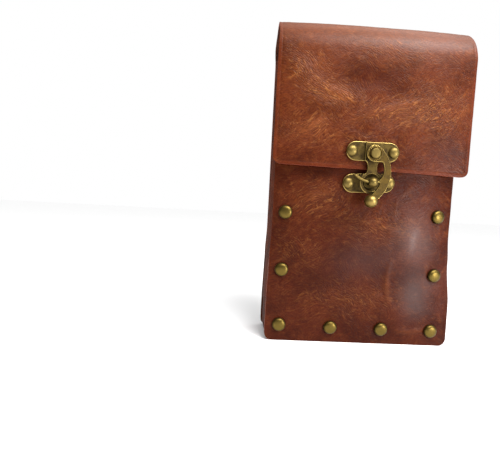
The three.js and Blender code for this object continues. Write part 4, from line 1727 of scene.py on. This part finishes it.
    def hook(self) -> None:
        """Builds the swinging hook: eye, crescent arm, knob, and the prong that slides through the post."""
        eye = self.hook_eye / 2
        (outer_x, outer_y), (inner_x, inner_y) = self._spot(self.outer), self._spot(self.inner)
        inner_radius = self.inner_radius * self.reach
        outer_radius = math.hypot(outer_x, outer_y) + eye
        outer_start = math.atan2(-outer_y, -outer_x)
        (toe_x, toe_y), (fork_x, fork_y) = self._spot(self.toe), self._spot(self.fork)
        knob = self._spot(self.knob)
        outer_end = math.atan2(toe_y - outer_y, toe_x - outer_x)
        inner_start = math.atan2(fork_y - inner_y, fork_x - inner_x)
        inner_end = math.asin((-eye - inner_y) / inner_radius)
        outline = [
            *arc(0, 0, eye, 1.5 * math.pi, outer_start, 44),
            *arc(outer_x, outer_y, outer_radius, outer_start, outer_end, 44)[1:],
            knob,
            *curve(self._spot(self.heel), self._spot(self.waist), self._spot(self.notch), 12),
            *arc(inner_x, inner_y, inner_radius, inner_start, inner_end, 32),
        ]
        arm = Bench.cast("clasp_hook_brass", outline, self.hook_back, self.hook_front)
        over = self.hook_front + 1
        Bench.cut(arm, Bench.drill(0, 0, self.pivot_shank / 2 + self.form.gap, self.hook_back - 1, over))
        Bench.cut(arm, Bench.drill(0, 0, self.eye_groove_out, self.hook_front - self.eye_groove_depth, over))
        self._round_edges(arm, self.rounding)
        prong, ball = self._prong(), Bench.ball(*knob, self.hook_middle, self.knob_radius)
        for part, brass in ((arm, self.hook_brass), (prong, self.dome_brass), (ball, self.knob_brass)):
            part.data.materials.clear()
            part.data.materials.append(brass)
        whole = Bench.joined("clasp_hook_brass", [arm, prong, ball])
        self._finish(whole, None, Body.HOOK, "clasp_hook")

    def _prong(self) -> bpy.types.Object:
        """Makes the curved prong with its round tip.

        Returns:
            The prong.
        """
        start = (self.reach * MM, 0, self.hook_middle * MM)
        piece = Bench.added(bpy.ops.mesh.primitive_circle_add, "prong", vertices=20, radius=self.prong / 2 * MM,
                            fill_type="NGON", location=start, rotation=(math.pi / 2, 0, 0))
        bpy.ops.object.transform_apply(location=True, rotation=True, scale=True)
        root = math.radians(self.prong_root - 90)
        sweep = math.radians(self.prong_tip + self.prong_root)
        Bench.placed(piece, Matrix.Rotation(root, 4, "Z"))
        bpy.ops.object.mode_set(mode="EDIT")
        bpy.ops.mesh.select_all(action="SELECT")
        bpy.ops.mesh.spin(steps=28, angle=sweep, center=(0, 0, 0), axis=(0, 0, 1))
        bpy.ops.object.mode_set(mode="OBJECT")
        Bench.mended(piece)
        turn = math.radians(-90 - self.prong_tip)
        tip = self.reach * math.cos(turn), self.reach * math.sin(turn)
        Bench.cut(piece, Bench.ball(*tip, self.hook_middle, self.prong / 2), "UNION")
        return piece

    def post(self) -> None:
        """Builds the ball-headed post that the prong slides through."""
        gap, middle, ball = self.form.gap, self.hook_middle, self.post_ball
        shoulder = self.lower_top + gap
        collar_top = shoulder + self.post_collar_height
        cap = self.panel_level - self.form.leather - gap
        end = cap - self.cap_thickness
        meet = math.asin(self.post_neck / ball)
        profile = [(0, end), (self.post_cap, end), (self.post_cap, cap), (self.post_tail, cap),
                   (self.post_tail, shoulder), (self.post_collar, shoulder), (self.post_collar, collar_top),
                   (self.post_neck, collar_top),
                   *arc(0, middle, ball, -math.pi / 2 + meet, math.pi / 2, 24)[:-1], (0, middle + ball)]
        piece = Bench.turned("clasp_post_brass", profile, 48)
        drill = Bench.drill(0, 0, self.prong * math.sqrt(0.5) + 2 * gap, -2 * ball, 2 * ball)
        sideways = Matrix.Rotation(math.pi / 2, 4, "Y")
        Bench.placed(drill, Matrix.Translation((0, 0, middle * MM)) @ sideways)
        Bench.cut(piece, drill)
        local = Matrix.Translation((0, -self.reach * MM, 0))
        self._finish(piece, self.dome_brass, Body.POUCH, "clasp_post", local)

    def rivets(self) -> None:
        """Builds the four dome-headed rivets of the plates."""
        gap = self.form.gap
        head, shank, cap = self.rivet_head / 2, self.rivet_shank / 2, self.rivet_cap / 2
        inside = -self.plate_thickness - self.form.leather - 2 * gap
        end = inside - self.cap_thickness
        profile = [(0, end), (cap, end), (cap, inside), (shank, inside), (shank, 0),
                   (head - self.rivet_seat, 0)]
        profile += [(head * math.cos(a), gap / 2 + self.rivet_dome * math.sin(a))
                    for a in evenly(0, math.pi / 2, 14)[:-1]]
        profile.append((0, gap / 2 + self.rivet_dome))
        blank = Bench.turned("clasp_rivet_blank", profile, 40)
        for level, face, y, tilt in (("upper", self.plate_top, self.plate_rise, 0.0),
                                     ("lower", self.lower_top, -self.reach, math.radians(self.tilt))):
            for side, reach in (("left", -self.rivet_reach), ("right", self.rivet_reach)):
                node = f"clasp_rivet_{level}_{side}"
                at = Vector((reach * math.cos(tilt), y + reach * math.sin(tilt), face)) * MM
                piece = Bench.copied(blank, f"{node}_brass")
                self._finish(piece, self.dome_brass, Body.POUCH, node, Matrix.Translation(at))
        bpy.data.objects.remove(blank)

    def build(self) -> None:
        """Builds the whole clasp."""
        self.upper_plate()
        self.lower_plate()
        self.pivot()
        self.hook()
        self.post()
        self.rivets()


@dataclass
class Studio:
    """The floor, the light and the camera."""

    camera_place: Shares = (-74.8, -245.2, 76.7)
    yaw: float = 2.60
    pitch: float = 3.92
    roll: float = 2.97
    lens: float = 28.8
    room: float = 0.31
    backdrop: float = 1.0
    top_light: float = 2.45
    top_from: Shares = (0.3, -0.3, 1.0)
    key_light: float = 2.0
    crest_light: float = 7.8
    top_spread: float = 95.0
    floor_size: float = 12.0
    floor_shade: Shares = (0.98, 0.98, 0.98)

    def floor(self) -> None:
        """Lays a plain pale floor."""
        floor = Bench.added(bpy.ops.mesh.primitive_grid_add, "floor", x_subdivisions=8, y_subdivisions=8,
                            size=self.floor_size)
        plain = Graph("pale_floor").surface(Base_Color=(*self.floor_shade, 1), Roughness=0.9)
        floor.data.materials.append(plain)

    def _softbox(self, name: str, at: Shares, towards: Shares, size: Point, power: float) -> None:
        """Hangs a soft light.

        Args:
            name: Its name.
            at: Its place, in metres.
            towards: The place that it faces, in metres.
            size: Its width and height, in metres.
            power: Its power, in watts.
        """
        lamp = Bench.added(bpy.ops.object.light_add, name, type="AREA", location=at)
        lamp.data.shape = "RECTANGLE"
        lamp.data.size, lamp.data.size_y = size
        lamp.data.energy = power
        lamp.rotation_euler = (Vector(towards) - Vector(at)).to_track_quat("-Z", "Y").to_euler()

    def light(self) -> None:
        """Lights the stage: a white backdrop, a dimmer room, a broad top light and two softboxes."""
        world = bpy.data.worlds.new("studio")
        bpy.context.scene.world = world
        world.use_nodes = True
        tree = world.node_tree
        backdrop = tree.nodes["Background"]
        backdrop.inputs["Color"].default_value = (1, 1, 1, 1)
        seen = tree.nodes.new("ShaderNodeLightPath")
        strength = tree.nodes.new("ShaderNodeMapRange")
        strength.inputs["To Min"].default_value = self.room
        strength.inputs["To Max"].default_value = self.backdrop
        tree.links.new(seen.outputs["Is Camera Ray"], strength.inputs["Value"])
        tree.links.new(strength.outputs["Result"], backdrop.inputs["Strength"])
        sun = Bench.added(bpy.ops.object.light_add, "top", type="SUN", location=(0.2, 0.1, 1.2))
        sun.data.energy = self.top_light
        sun.data.angle = math.radians(self.top_spread)
        sun.rotation_euler = Vector(self.top_from).to_track_quat("Z", "Y").to_euler()
        self._softbox("key", (0.34, -0.42, 0.075), (0, 0, 0.07), (0.13, 0.12), self.key_light)
        self._softbox("crest", (0.2, -0.34, 0.58), (0.02, 0, 0.17), (0.5, 0.3), self.crest_light)
        bpy.context.scene.view_settings.view_transform = "Standard"

    def camera(self) -> None:
        """Sets the camera at the reference view's angle."""
        yaw, pitch, roll = (math.radians(angle) for angle in (self.yaw, self.pitch, self.roll))
        ahead = Vector((math.sin(yaw) * math.cos(pitch), math.cos(yaw) * math.cos(pitch), -math.sin(pitch)))
        level = Vector((math.cos(yaw), -math.sin(yaw), 0))
        upright = level.cross(ahead)
        right = level * math.cos(roll) + upright * math.sin(roll)
        up = upright * math.cos(roll) - level * math.sin(roll)
        place = Vector(self.camera_place) * MM
        camera = Bench.added(bpy.ops.object.camera_add, "Camera", location=place)
        camera.rotation_euler = Matrix((right, up, -ahead)).transposed().to_euler()
        camera.data.lens = self.lens
        camera.data.sensor_width = 36
        camera.data.clip_start = 0.01
        bpy.context.scene.camera = camera


def main() -> None:
    """Builds the pouch, piece by piece, and its studio."""
    logging.basicConfig(level=logging.INFO, format="%(message)s")
    form = Form()
    studio = Studio()
    studio.camera()
    studio.floor()
    studio.light()
    shell = Shell(form)
    shell.front_panel()
    shell.back_and_flap()
    shell.gusset()
    shell.belt_loops()
    Rivets(form, shell).build()
    Clasp(form).build()


if __name__ == "__main__":
    main()
